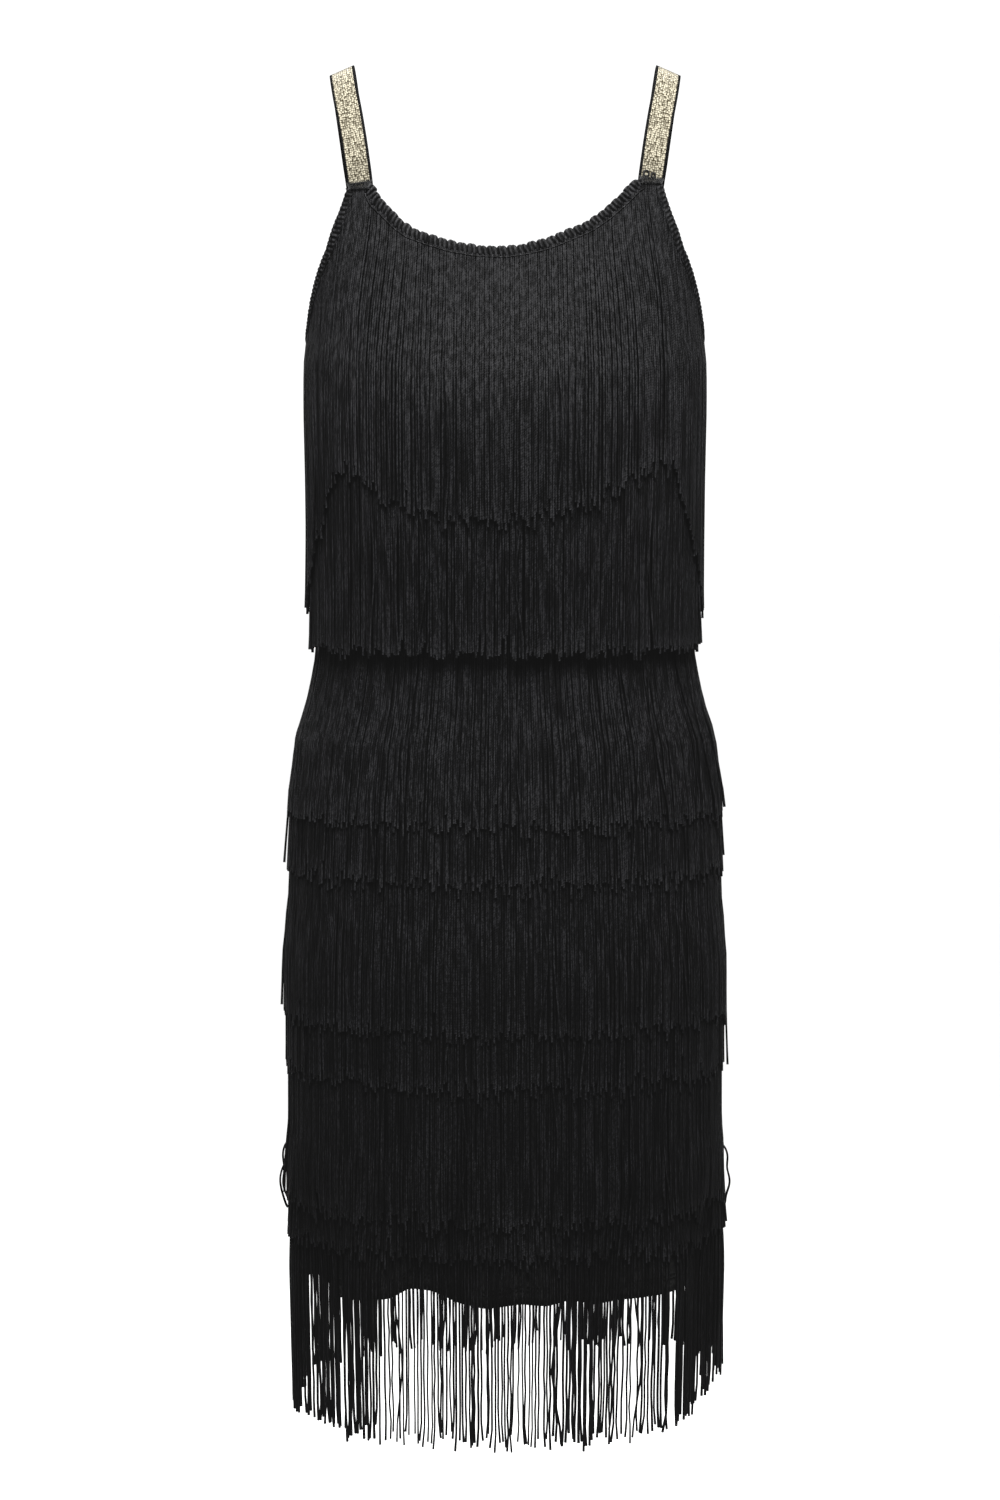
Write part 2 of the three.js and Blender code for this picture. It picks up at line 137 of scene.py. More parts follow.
# %% [markdown]
# ## The worn form
#
# The dress is shown filled out, with nobody in it. A cloth simulation could give that form, but stretch
# jersey lies smooth, so a short table does as well and stays easy to fit: the sheath's half width and
# its depth in front and behind at each height, in millimetres. The section between is a slightly
# squared oval. The two upper fringes fall plumb from the bust, so they have a form of their own.

# %% Tables of the worn form
MM = 0.001
TAB_Z = -86 * MM
UNDERARM_Z = -195 * MM
BUST_Z = -250 * MM
WAIST_Z = -420 * MM
HEM_Z = -880 * MM
# height, half width, depth in front, depth behind
SHARED_SECTIONS = [
    (-40, 135, 52, 48),
    (-86, 137.5, 68, 62),
    (-128, 138.5, 83, 79),
    (-170, 140.5, 98, 91),
    (-215, 141.5, 111, 96),
]
SHEATH_SECTIONS = SHARED_SECTIONS + [
    (-250, 141, 117, 95),
    (-297, 139.6, 114, 90),
    (-338, 137.2, 106, 84),
    (-379, 134.6, 99, 79),
    (-420, 133.4, 96, 78),
    (-450, 139, 97, 83),
    (-486, 148.4, 100, 93),
    (-525, 151.6, 103, 104),
    (-575, 154.4, 106, 112),
    (-624, 155.8, 108, 116),
    (-792, 156.8, 109, 114),
    (-880, 156.2, 110, 112),
    (-1000, 154, 110, 112),
]
PLUMB_SECTIONS = SHARED_SECTIONS + [
    (-250, 141, 117, 95.5),
    (-297, 140.2, 115.5, 95),
    (-338, 140, 112, 92.5),
    (-379, 140, 108, 90),
    (-430, 140.8, 104.5, 88),
    (-500, 140.8, 103, 88),
]
print("heights given for the sheath and the upper fringes:", len(SHEATH_SECTIONS), len(PLUMB_SECTIONS))


# %% Helpers for lines and curves
def unit(vectors):
    return vectors / np.linalg.norm(vectors, axis=-1, keepdims=True)


def smooth_rise(value, start, end):
    """0 before start, 1 after end, with an easy curve between."""
    share = np.clip((value - start) / (end - start), 0.0, 1.0)
    return share * share * (3.0 - 2.0 * share)


def distance_along(points, axis=0):
    """How far each point lies along its line, from 0 at the start."""
    first = np.take(points, [0], axis=axis)
    steps = np.linalg.norm(np.diff(points, axis=axis, prepend=first), axis=-1)
    return np.cumsum(steps, axis=axis)


def eased(values, over):
    """A row of values with its corners smoothed over a number of steps."""
    window = np.hanning(over + 2)[1:-1]
    padded = np.pad(values, over // 2, mode="edge")
    return np.convolve(padded, window / window.sum(), mode="valid")


print("a smooth rise at its quarters:", smooth_rise(np.array((0.25, 0.5, 0.75)), 0.0, 1.0))

# %% The form as a function
SECTION_POWER = 2.2
EASED_OVER = 31
HEM_WAVES = 9
HEM_WAVE_DEPTH = 5 * MM
HEM_WAVE_TURN = math.radians(40)
HEM_WAVE_START_Z = -792 * MM
BACK_SHOULDER_EXTRA = 5 * MM
FEEL_ROUND = 0.02
FEEL_DOWN = 6 * MM


def rounded(value):
    """Sine or cosine bent towards a squared oval."""
    return np.sign(value) * np.abs(value) ** (2.0 / SECTION_POWER)


def make_form(sections):
    """A function that gives the point of the form at a turn round the body and a height."""
    rows = np.array(sections, dtype=float)[::-1] * MM
    heights = np.arange(rows[0, 0], rows[-1, 0], MM)
    columns = [eased(np.interp(heights, rows[:, 0], rows[:, k]), EASED_OVER) for k in (1, 2, 3)]

    def form(turn, z):
        half, front, back = (np.interp(z, heights, column) for column in columns)
        facing = rounded(np.cos(turn))
        ripple = HEM_WAVE_DEPTH * np.sin(HEM_WAVES * turn + HEM_WAVE_TURN)
        wave = ripple * smooth_rise(-z, -HEM_WAVE_START_Z, -HEM_Z)
        shoulder = BACK_SHOULDER_EXTRA * smooth_rise(z, UNDERARM_Z, TAB_Z) * (facing < 0)
        x = (half + shoulder + wave) * rounded(np.sin(turn))
        y = -(np.where(facing > 0, front, back) + wave) * facing
        return np.stack(np.broadcast_arrays(x, y, z), axis=-1)

    return form


def outward(form, turn, z):
    """Direction that faces away from the body, felt from points close by."""
    around = form(turn + FEEL_ROUND, z) - form(turn - FEEL_ROUND, z)
    down = form(turn, z - FEEL_DOWN) - form(turn, z + FEEL_DOWN)
    return unit(np.cross(down, around))


sheath_form = make_form(SHEATH_SECTIONS)
plumb_form = make_form(PLUMB_SECTIONS)
full_turn = np.linspace(-math.pi, math.pi, 721)


def girth(z):
    return distance_along(sheath_form(full_turn, np.full_like(full_turn, z)))[-1]


print("girth at bust, waist and hem:", [round(girth(z), 3) for z in (BUST_Z, WAIST_Z, HEM_Z)])

# %% [markdown]
# ## The top edge
#
# One line runs round the top of the sheath: a scooped neck in front, a slightly lower scoop behind, a
# flat tab under each strap and a rounded armhole at each side. The braid, the straps and the first
# fringe all hang on this line, so it is one function that they share. The front is read from the
# photograph, where the neck has slipped a little to the wearer's right. The back is a plain scoop.

# %% The top edge
SIDE = math.pi / 2
# step along the edge, in degrees
EDGE_STEP = 0.1
EDGE_EASED_OVER = 25
# turn from the centre front in degrees, height in mm
NECK_FRONT = [
    (-51, -88), (-41, -88), (-38.5, -97), (-34, -105), (-30, -113), (-26, -119), (-20, -124),
    (-13, -129), (-6, -132), (0, -132.5), (4, -131), (10, -127), (16, -121), (22, -115),
    (28, -106), (34, -95.5), (38.5, -87), (41, -84), (51, -84),
]
# turn from the side seam in degrees, height in mm
ARMHOLE_FRONT = [
    (0, -195), (4, -192), (8, -184), (13, -170), (18, -155), (23.5, -140), (27.6, -130),
    (31.2, -118), (34.6, -105), (37.6, -92),
]
ARMHOLE_BACK = [(4, -192), (8, -184), (14, -167), (22, -142), (30, -115), (38, -91)]
# turn from the centre back in degrees, height in mm
NECK_BACK = [(50, -88), (41, -88), (38.5, -99), (34, -109), (30, -117), (22, -130), (12, -140)]
NECK_BACK_MIDDLE = (180, -143)


def make_top_edge():
    """A function that gives the height of the sheath's top edge at a turn from the centre front."""
    rows = NECK_FRONT + [NECK_BACK_MIDDLE, (270, ARMHOLE_FRONT[0][1])]
    rows += [row for turn, z in ARMHOLE_FRONT for row in ((90 - turn, z), (turn - 90, z))]
    rows += [row for turn, z in ARMHOLE_BACK for row in ((90 + turn, z), (270 - turn, z))]
    rows += [row for turn, z in NECK_BACK for row in ((180 + turn, z), (180 - turn, z))]
    line = np.array(sorted(rows), dtype=float)
    turns = np.arange(-90, 270 + EDGE_STEP / 2, EDGE_STEP)
    heights = eased(np.interp(turns, line[:, 0], line[:, 1] * MM), EDGE_EASED_OVER)
    return lambda turn: np.interp((np.degrees(turn) + 90) % 360 - 90, turns, heights)


top_edge = make_top_edge()
edge_line = sheath_form(full_turn, top_edge(full_turn))
print("top edge all round:", round(distance_along(edge_line)[-1], 3), "m")

# %% [markdown]
# ## Thread and fibre effects
#
# Everything on this dress is thread, so two small effects are shared by its materials. One is the fine
# unevenness of fibre, which keeps black from looking like paint. The other is a twisted thread: a
# slanting ridge that runs round and along it, with painted shade in the grooves, painted specks of light
# where a filament catches it, some threads duller than their neighbours, and the last stretch paler
# where it frays. Built once as node groups with named sockets, they are placed in each material with
# its own values.


# %% Node helpers
def feed(tree, socket, value):
    """Give an input a link from another socket, a colour or a number."""
    if isinstance(value, bpy.types.NodeSocket):
        tree.links.new(value, socket)
    elif isinstance(value, tuple):
        socket.default_value = (*value, 1.0)
    else:
        socket.default_value = value


def new_node(tree, kind, **values):
    """A node with its inputs fed by name."""
    node = tree.nodes.new(f"ShaderNode{kind}")
    for name, value in values.items():
        feed(tree, node.inputs[name.replace("_", " ")], value)
    return node


def maths(tree, operation, *values):
    """A maths node; each input is a socket or a number."""
    node = new_node(tree, "Math")
    node.operation = operation
    for socket, value in zip(node.inputs, values):
        feed(tree, socket, value)
    return node.outputs[0]


def mix_colours(tree, factor, first, second):
    """A colour between two; each may be a socket or a plain colour."""
    mix = new_node(tree, "Mix")
    mix.data_type = "RGBA"
    for index, value in ((0, factor), (6, first), (7, second)):
        feed(tree, mix.inputs[index], value)
    return mix.outputs[2]


def new_group(name, inputs, outputs):
    """An empty effect with named sockets, what it is given and what it has to make."""
    group = bpy.data.node_groups.new(name, "ShaderNodeTree")
    for in_out, sockets in (("INPUT", inputs), ("OUTPUT", outputs)):
        for socket, kind in sockets.items():
            group.interface.new_socket(name=socket, in_out=in_out, socket_type=f"NodeSocket{kind}")
    return group, group.nodes.new("NodeGroupInput").outputs, group.nodes.new("NodeGroupOutput").inputs


def use_group(tree, group, **values):
    """The outputs of an effect that is placed in a material or another effect."""
    node = tree.nodes.new("ShaderNodeGroup")
    node.node_tree = group
    for name, value in values.items():
        feed(tree, node.inputs[name.replace("_", " ")], value)
    return node.outputs


print("effects before we start:", len(bpy.data.node_groups))

# %% Uneven fibre
FIBRE_DETAIL = 3.0
FIBRE_DARKEST = 0.4
FIBRE_LIGHTEST = 0.6


def make_fibre_group():
    group, given, made = new_group(
        "uneven fibre",
        {"Place": "Vector", "Scale": "Float", "Dark": "Color", "Light": "Color"},
        {"Color": "Color", "Grain": "Float"},
    )
    noise = new_node(group, "TexNoise", Vector=given["Place"], Scale=given["Scale"], Detail=FIBRE_DETAIL)
    spread = new_node(
        group, "MapRange", Value=noise.outputs["Fac"], From_Min=FIBRE_DARKEST, From_Max=FIBRE_LIGHTEST
    )
    grain = spread.outputs["Result"]
    feed(group, made["Color"], mix_colours(group, grain, given["Dark"], given["Light"]))
    feed(group, made["Grain"], grain)
    return group


fibre_group = make_fibre_group()
print("made the effect", fibre_group.name)

# %% Twisted thread
SPECKS_PER_METRE = 850.0
SPECK_LENGTH = 2.0
DULLEST_SPECK = 0.35
STREAKS_PER_METRE = 500.0
STREAK_LENGTH = 33.0
DULLEST_THREAD = 0.25
FRAYED_OVER = 14 * MM
FRAYED_LIGHT = 0.3


def make_thread_group():
    group, given, made = new_group(
        "twisted thread",
        {
            "Place": "Vector",
            "Flat Map": "Vector",
            "Turns per Metre": "Float",
            "Groove": "Float",
            "Sharpness": "Float",
            "Frayed From": "Float",
            "Dark": "Color",
            "Light": "Color",
        },
        {"Color": "Color", "Ridge": "Float"},
    )

    def drawn_out(per_metre, length, dullest):
        """Brightness that changes from thread to thread and is drawn out along them."""
        stretch = new_node(group, "Mapping", Vector=given["Place"])
        stretch.inputs["Scale"].default_value = (1.0, 1.0, 1.0 / length)
        fibre = use_group(group, fibre_group, Place=stretch.outputs["Vector"], Scale=per_metre)
        return maths(group, "ADD", maths(group, "MULTIPLY", fibre["Grain"], 1.0 - dullest), dullest)

    split = new_node(group, "SeparateXYZ", Vector=given["Flat Map"]).outputs
    along = maths(group, "MULTIPLY", split["X"], given["Turns per Metre"])
    phase = maths(group, "MULTIPLY", maths(group, "ADD", along, split["Y"]), 2 * math.pi)
    ridge = maths(group, "ABSOLUTE", maths(group, "SINE", phase))
    crest = maths(group, "POWER", ridge, given["Sharpness"])
    # Painted shade: the colour is darkened in the grooves of the twist.
    groove_shade = maths(group, "MULTIPLY", maths(group, "SUBTRACT", 1.0, crest), given["Groove"])
    streak = drawn_out(STREAKS_PER_METRE, STREAK_LENGTH, DULLEST_THREAD)
    shown = maths(group, "MULTIPLY", streak, maths(group, "SUBTRACT", 1.0, groove_shade))
    past = maths(group, "SUBTRACT", split["X"], given["Frayed From"])
    frayed = maths(group, "MAXIMUM", maths(group, "DIVIDE", past, FRAYED_OVER), 0.0)
    frayed = maths(group, "MINIMUM", frayed, 1.0)
    shown = maths(group, "ADD", shown, maths(group, "MULTIPLY", frayed, FRAYED_LIGHT))
    # Painted highlights: specks of light along the thread, where a filament catches it.
    speck = drawn_out(SPECKS_PER_METRE, SPECK_LENGTH, DULLEST_SPECK)
    lit = maths(group, "MULTIPLY", speck, shown)
    feed(group, made["Color"], mix_colours(group, lit, given["Dark"], given["Light"]))
    feed(group, made["Ridge"], ridge)
    return group


thread_group = make_thread_group()
print("made the effect", thread_group.name)

# %% [markdown]
# ## Black threads and jersey
#
# Three blacks share those effects. The fringe is a rayon twist with a soft satin light along it, the
# braid is a duller cord, and the jersey is a fine matt knit. One flat black for all would be quicker,
# but the pieces would melt into one another. Their colours are dark greys, with a trace of blue in the
# threads, because real black cloth never quite reaches black.

# %% Thread materials
DEEP_BLACK = (0.0006, 0.0006, 0.0006)
FRINGE_LIGHT = (0.0052, 0.0052, 0.0055)
BRAID_LIGHT = (0.0095, 0.0095, 0.01)
STRAND_DROP = 190 * MM
FRAYED_LENGTH = 10 * MM
# longer than any thread here, in metres
NEVER_FRAYED = 10.0


def new_material(name, roughness, shine):
    """A material, its nodes and the inputs of its shader."""
    material = bpy.data.materials.new(name)
    material.use_nodes = True
    shader = material.node_tree.nodes["Principled BSDF"].inputs
    shader["Roughness"].default_value = roughness
    shader["Specular IOR Level"].default_value = shine
    return material, material.node_tree, shader


def bump_from(tree, height, shader, strength, distance):
    bump = new_node(tree, "Bump", Strength=strength, Distance=distance, Height=height)
    feed(tree, shader["Normal"], bump.outputs["Normal"])


def make_thread(name, light, **twist):
    """A thread of one black; twist gives its turns, groove shade, sharpness and where it frays."""
    material, tree, shader = new_material(name, roughness=0.65, shine=0.016)
    place = new_node(tree, "TexCoord").outputs
    thread = use_group(
        tree,
        thread_group,
        Place=place["Object"],
        Flat_Map=place["UV"],
        Dark=DEEP_BLACK,
        Light=light,
        **twist,
    )
    feed(tree, shader["Base Color"], thread["Color"])
    bump_from(tree, thread["Ridge"], shader, strength=0.5, distance=0.2 * MM)
    return material


fringe_black = make_thread(
    "black_fringe",
    FRINGE_LIGHT,
    Turns_per_Metre=270.0,
    Groove=0.15,
    Sharpness=1.0,
    Frayed_From=STRAND_DROP - FRAYED_LENGTH,
)
# The braid's deep grooves are painted shade between its turns.
braid_black = make_thread(
    "black_braid", BRAID_LIGHT, Turns_per_Metre=100.0, Groove=0.97, Sharpness=3.0, Frayed_From=NEVER_FRAYED
)
print("made", fringe_black.name, "and", braid_black.name)

# %% Jersey material
WALE = 1.1 * MM
COURSE = 0.8 * MM
COURSE_SHARE = 0.5
JERSEY_FIBRES_PER_METRE = 260.0
JERSEY_DARK = (0.001, 0.001, 0.001)
JERSEY_LIGHT = (0.004, 0.004, 0.004)


def make_jersey():
    material, tree, shader = new_material("black_jersey", roughness=0.85, shine=0.1)
    place = new_node(tree, "TexCoord").outputs
    fibre = use_group(
        tree,
        fibre_group,
        Place=place["Object"],
        Scale=JERSEY_FIBRES_PER_METRE,
        Dark=JERSEY_DARK,
        Light=JERSEY_LIGHT,
    )
    feed(tree, shader["Base Color"], fibre["Color"])
    split = new_node(tree, "SeparateXYZ", Vector=place["UV"]).outputs
    wale = maths(tree, "SINE", maths(tree, "MULTIPLY", split["X"], 2 * math.pi / WALE))
    course = maths(tree, "SINE", maths(tree, "MULTIPLY", split["Y"], 2 * math.pi / COURSE))
    knit = maths(tree, "ADD", wale, maths(tree, "MULTIPLY", course, COURSE_SHARE))
    bump_from(tree, knit, shader, strength=0.4, distance=0.1 * MM)
    return material


jersey_black = make_jersey()
print("made", jersey_black.name)

# %% [markdown]
# ## Gold elastic
#
# The straps are woven elastic with a metallic yarn. It shows fine ribs across the band, broken into
# flecks of pale and dark gold, and a narrow black edge on each side. Each fleck has a random tone of its
# own, and its middle is painted paler than its rim: a painted glint, with painted shade round it. Where
# the strap folds over the shoulder, a band of painted shade runs across it. Weaving real yarns would cost
# more faces than the rest of the strap is worth, so the flecks are cells of a pattern. The band's own
# flat map places the edges and the painted shade, so they follow the strap.

# %% Gold elastic material
STRAP_WIDTH = 19 * MM
STRAP_EDGE = 1.8 * MM
STRAP_RIB = 1.6 * MM
FLECK_DISORDER = 0.6
FLECK_TOP = 1.3
FLECK_SLOPE = 2.0
FLECK_LEAST = 0.35
DARK_GOLD = (0.007, 0.0054, 0.0026)
PALE_GOLD = (0.115, 0.106, 0.081)
ELASTIC_BLACK = (0.002, 0.002, 0.002)
METAL_SHARE = 0.15
# Painted shade across the strap where it folds over the shoulder: where it lies, how wide and how dark.
FOLD_SHADE_ALONG = 123.5 * MM
FOLD_SHADE_HALF = 6 * MM
FOLD_SHADE_DARK = 0.9


def make_elastic():
    material, tree, shader = new_material("gold_elastic", roughness=0.6, shine=0.0)
    place = new_node(tree, "TexCoord").outputs
    fleck = new_node(
        tree, "TexVoronoi", Vector=place["UV"], Scale=1.0 / STRAP_RIB, Randomness=FLECK_DISORDER
    )
    fleck.voronoi_dimensions = "2D"
    chance = new_node(tree, "SeparateColor", Color=fleck.outputs["Color"]).outputs[0]
    lower = maths(tree, "MULTIPLY", fleck.outputs["Distance"], FLECK_SLOPE)
    raised = maths(tree, "SUBTRACT", FLECK_TOP, lower)
    # Each fleck keeps a random tone of its own; its paler middle and darker rim are a painted glint and
    # painted shade.
    shine = maths(tree, "MULTIPLY", raised, maths(tree, "ADD", chance, FLECK_LEAST))
    woven = mix_colours(tree, shine, DARK_GOLD, PALE_GOLD)
    split = new_node(tree, "SeparateXYZ", Vector=place["UV"]).outputs
    from_middle = maths(tree, "ABSOLUTE", split["Y"])
    on_edge = maths(tree, "GREATER_THAN", from_middle, STRAP_WIDTH / 2 - STRAP_EDGE)
    # A band of painted shade across the strap where it folds over the shoulder, joined with the black
    # edges.
    from_fold_shade = maths(tree, "ABSOLUTE", maths(tree, "SUBTRACT", split["X"], FOLD_SHADE_ALONG))
    near_fold_shade = maths(tree, "SUBTRACT", 1.0, maths(tree, "DIVIDE", from_fold_shade, FOLD_SHADE_HALF))
    fold_shade = maths(tree, "MULTIPLY", maths(tree, "MAXIMUM", near_fold_shade, 0.0), FOLD_SHADE_DARK)
    black_edge_and_fold_shade = maths(tree, "MAXIMUM", on_edge, fold_shade)
    feed(tree, shader["Base Color"], mix_colours(tree, black_edge_and_fold_shade, woven, ELASTIC_BLACK))
    bare = maths(tree, "SUBTRACT", 1.0, black_edge_and_fold_shade)
    feed(tree, shader["Metallic"], maths(tree, "MULTIPLY", bare, METAL_SHARE))
    bump_from(tree, raised, shader, strength=0.7, distance=0.4 * MM)
    return material


gold_elastic = make_elastic()
print("made", gold_elastic.name)

# %% [markdown]
# ## The sheath
#
# Front and back are cut as two plain panels and sewn at the sides. Each is a thin shell on the worn
# form, from the shared top edge down to a hem that ripples because the fringe weighs on it. The last
# 14 mm are doubled where the hem is turned up, with a shallow dip along the stitching. A grid on the
# form keeps the knit of the jersey straight and the seams exact.

# %% The hem line
HEM_RIPPLE = 4 * MM
# turns to either side at which the shown hem ends and the hidden one starts, in radians
HEM_SHOWN_TO = 1.2
HEM_HIDDEN_FROM = 1.4
# turn from the centre front in degrees, rise of the hem there in mm
HEM_LINE = [
    (-72, 2), (-60, 6), (-50, -7), (-39, -4), (-29, 0), (-24, 8), (-18, 6), (-11, -2), (-4, -5),
    (3, 0), (9, -2), (15, 1), (23, -5), (30, -3), (40, -1), (50, 1), (60, -1), (72, 2),
]


def from_front(turn):
    """The same turn, between half a turn to one side of the centre front and half to the other."""
    return (np.asarray(turn) + math.pi) % (2 * math.pi) - math.pi


def read_table(table, turn):
    """Value in a table that goes by degrees from the centre front."""
    return np.interp(np.degrees(turn), *np.array(table, dtype=float).T)


def hem_edge(turn):
    """Height of the hem: read from the photograph in front, even ripples at the sides and behind."""
    turned = from_front(turn)
    shown = read_table(HEM_LINE, turned) * MM
    hidden = HEM_RIPPLE * np.sin(HEM_WAVES * turned)
    return HEM_Z + shown + (hidden - shown) * smooth_rise(np.abs(turned), HEM_SHOWN_TO, HEM_HIDDEN_FROM)


print("hem at the centre front and back:", [round(float(hem_edge(turn)), 4) for turn in (0.0, math.pi)])

# %% Sheath panels
SEAM_GAP = 0.15 * MM
JERSEY_THICK = 1.0 * MM
HEM_TURN_UP = 14 * MM
HEM_DOUBLED = 0.5 * MM
HEM_DIP = 0.3 * MM
HEM_DIP_ABOVE = 12 * MM
HEM_DIP_HALF = 1.5 * MM
PANEL_COLUMNS = 130
PANEL_ROWS = 110


def panel_part(centre):
    turn = centre + np.linspace(-SIDE, SIDE, PANEL_COLUMNS)[None, :]
    down = np.linspace(0.0, 1.0, PANEL_ROWS)[:, None]
    top, low = top_edge(turn), hem_edge(turn)
    z = top + (low - top) * down
    turn = np.broadcast_to(turn, z.shape)
    above_hem = z - low
    doubled = HEM_DOUBLED * smooth_rise(-above_hem, -HEM_TURN_UP - MM, -HEM_TURN_UP)
    dip = HEM_DIP * np.exp(-(((above_hem - HEM_DIP_ABOVE) / HEM_DIP_HALF) ** 2))
    points = sheath_form(turn, z) + outward(sheath_form, turn, z) * (doubled - dip)[..., None]
    points[:, (0, -1), 1] -= SEAM_GAP * math.cos(centre)
    return grid_part(points, np.stack((distance_along(points, axis=1), z), axis=-1))


def area_of(part):
    points, faces, _ = part
    a, b, c, d = (points[faces[:, k]] for k in range(4))
    return 0.5 * np.linalg.norm(np.cross(c - a, d - b), axis=1).sum()


def thicken(piece, thickness, offset):
    shell = piece.modifiers.new("thickness", "SOLIDIFY")
    shell.thickness = thickness
    shell.offset = offset


front_part, back_part = panel_part(0.0), panel_part(math.pi)
sheath_front = add_piece("sheath_front", front_part, jersey_black, ["front_panel"])
sheath_back = add_piece("sheath_back", back_part, jersey_black, ["back_panel"])
thicken(sheath_front, JERSEY_THICK, -1.0)
thicken(sheath_back, JERSEY_THICK, -1.0)
areas = [round(area_of(part), 3) for part in (front_part, back_part)]
print("cloth in front and back:", areas, "square metres")

# %% [markdown]
# ## Threads as tubes
#
# Stitches and fringe strands are the same thing at different lengths: a thin round thread along a
# path. Hair curves could draw them, but a mesh can be exported and measured, so one function turns any
# number of paths into tubes. Four sides are enough for a thread about a millimetre thick, since the
# shading rounds them. The cut ends have points of their own, so that they stay flat and do not bend the
# shading of the sides. Each thread's twist starts at a turn of its own, so that twists never line up in
# rows.

# %% Tubes along many paths
THREAD_SIDES = 4
TWIST_SEED = 7


def tubes(paths, radius, away):
    """Threads along paths (count, points, 3); radius for each point; away faces off the cloth."""
    count, rings = paths.shape[:2]
    forward = unit(np.gradient(paths, axis=1))
    across = unit(np.cross(forward, away))
    lift = np.cross(across, forward)
    corner = (np.arange(THREAD_SIDES) + 0.5) * 2 * math.pi / THREAD_SIDES
    ring = np.cos(corner)[:, None] * across[:, :, None] + np.sin(corner)[:, None] * lift[:, :, None]
    reach = radius / math.cos(math.pi / THREAD_SIDES)
    points = paths[:, :, None] + reach[:, :, None, None] * ring
    along = np.broadcast_to(distance_along(paths, axis=1)[:, :, None], points.shape[:3])
    twist = np.random.default_rng(TWIST_SEED).random((count, 1, 1))
    around = np.broadcast_to(np.arange(THREAD_SIDES) / THREAD_SIDES + twist, points.shape[:3])
    flat = np.stack((along, around), axis=-1)
    points, flat = (np.concatenate((part, part[:, (0, -1)]), axis=1) for part in (points, flat))
    first = np.arange(count)[:, None, None] * (rings + 2) * THREAD_SIDES
    sides = (first + lattice(rings, THREAD_SIDES, wrap=True)).reshape(-1, 4)
    root = np.arange(THREAD_SIDES) + rings * THREAD_SIDES
    tip = root[::-1] + THREAD_SIDES
    ends = (first + np.stack((root, tip))).reshape(-1, 4)
    return points.reshape(-1, 3), np.concatenate((sides, ends)), flat.reshape(-1, 2)


def one_thread(path, radius, away):
    """A single thread of even thickness along a path (points, 3)."""
    return tubes(path[None], np.full((1, len(path)), radius), away)


sample = one_thread(np.linspace((0, 0, 0), (0, 0, -1), 5), MM, np.array((0, -1, 0)))
print("one thread of five rings has", len(sample[1]), "faces")

# %% [markdown]
# ## Sewing on the sheath
#
# The hem is held by two rows of short stitches, and each side seam is overlocked on the inside with a
# zigzag thread. Black on black hardly shows from the front, but it is what the eye finds at the hem
# and inside the neck. A pattern of stitches in the material would look painted on there, so each is a
# thread of its own.

# %% Hem stitches and side seams
STITCH = 3.2 * MM
STITCH_THREAD = 0.22 * MM
STITCH_OFF = 0.45 * MM
HEM_STITCH_ROWS = (10 * MM, 13 * MM)
# share of the way along a stitch, how far it rises there in mm
STITCH_ARC = [(0.12, 0.0), (0.35, 0.35), (0.65, 0.35), (0.88, 0.0)]
SEAM_THREAD = 0.25 * MM
SEAM_ZIGZAG = 2.5 * MM
SEAM_PITCH = 3.0 * MM
SEAM_OFF = 0.4 * MM
SEAM_TOP_Z = UNDERARM_Z - 6 * MM
SEAM_LOW_Z = HEM_Z + 4 * MM


def hem_stitches(above):
    share, rise = np.array(STITCH_ARC).T
    count = int(girth(HEM_Z) / STITCH)
    turn = (np.arange(count)[:, None] + share) / count * 2 * math.pi
    z = hem_edge(turn) + above
    away = outward(sheath_form, turn, z)
    paths = sheath_form(turn, z) + away * (STITCH_OFF + rise * MM)[:, None]
    return tubes(paths, np.full(z.shape, STITCH_THREAD), away)


def seam_overlock(side):
    z = np.arange(SEAM_TOP_Z, SEAM_LOW_Z, -SEAM_PITCH / 2)
    path = sheath_form(np.full_like(z, side * SIDE), z)
    path[:, 0] -= side * (JERSEY_THICK + SEAM_OFF)
    path[:, 1] += np.where(np.arange(len(z)) % 2, SEAM_ZIGZAG, -SEAM_ZIGZAG)
    return one_thread(path, SEAM_THREAD, np.array((-side, 0.0, 0.0)))


sewing_parts = [hem_stitches(above) for above in HEM_STITCH_ROWS] + [seam_overlock(s) for s in (-1, 1)]
sewing = add_piece("sheath_sewing", joined(sewing_parts), braid_black)

# %% [markdown]
# ## Ribbed braid on the neck and armholes
#
# The top edge is bound with a ribbed braid, a fat cord wound over the edge. Its turns show in front as
# slanting ribs, and every second one stands up as a knob against the light. Round the armhole it lies
# flatter. The braid stops at the tabs. A row of stitching holds it, and shows as a fine line below it.
# The ribs break the outline of the neck, so they are real shape and not a bump.

# %% Sizes of the braid
# half the width of a tab, in degrees of turn
TAB_HALF = 4.5
# name, from and to in degrees, then rib pitch, height, swell and knob in mm
BRAIDS = [
    ("neck_front", -46, 46, 3.5, 6.2, 1.8, 1.5),
    ("armhole_left", 46, 134, 3.3, 7.0, 0.7, 0.1),
    ("neck_back", 134, 226, 3.5, 6.2, 1.8, 1.5),
    ("armhole_right", 226, 314, 3.3, 7.0, 0.7, 0.1),
]
# share of the height below the edge, stand off the sheath in mm, how much the rib swells there
LIP = [
    (1.00, 0.2, 0.2),
    (0.90, 0.9, 0.8),
    (0.55, 1.6, 1.0),
    (0.25, 2.0, 1.0),
    (0.05, 1.9, 1.0),
    (-0.05, 0.9, 1.0),
    (-0.02, -1.0, 0.9),
    (0.20, -2.4, 0.6),
    (0.55, -2.8, 0.4),
    (0.70, -1.6, 0.1),
]
print("lengths of braid:", [row[0] for row in BRAIDS])

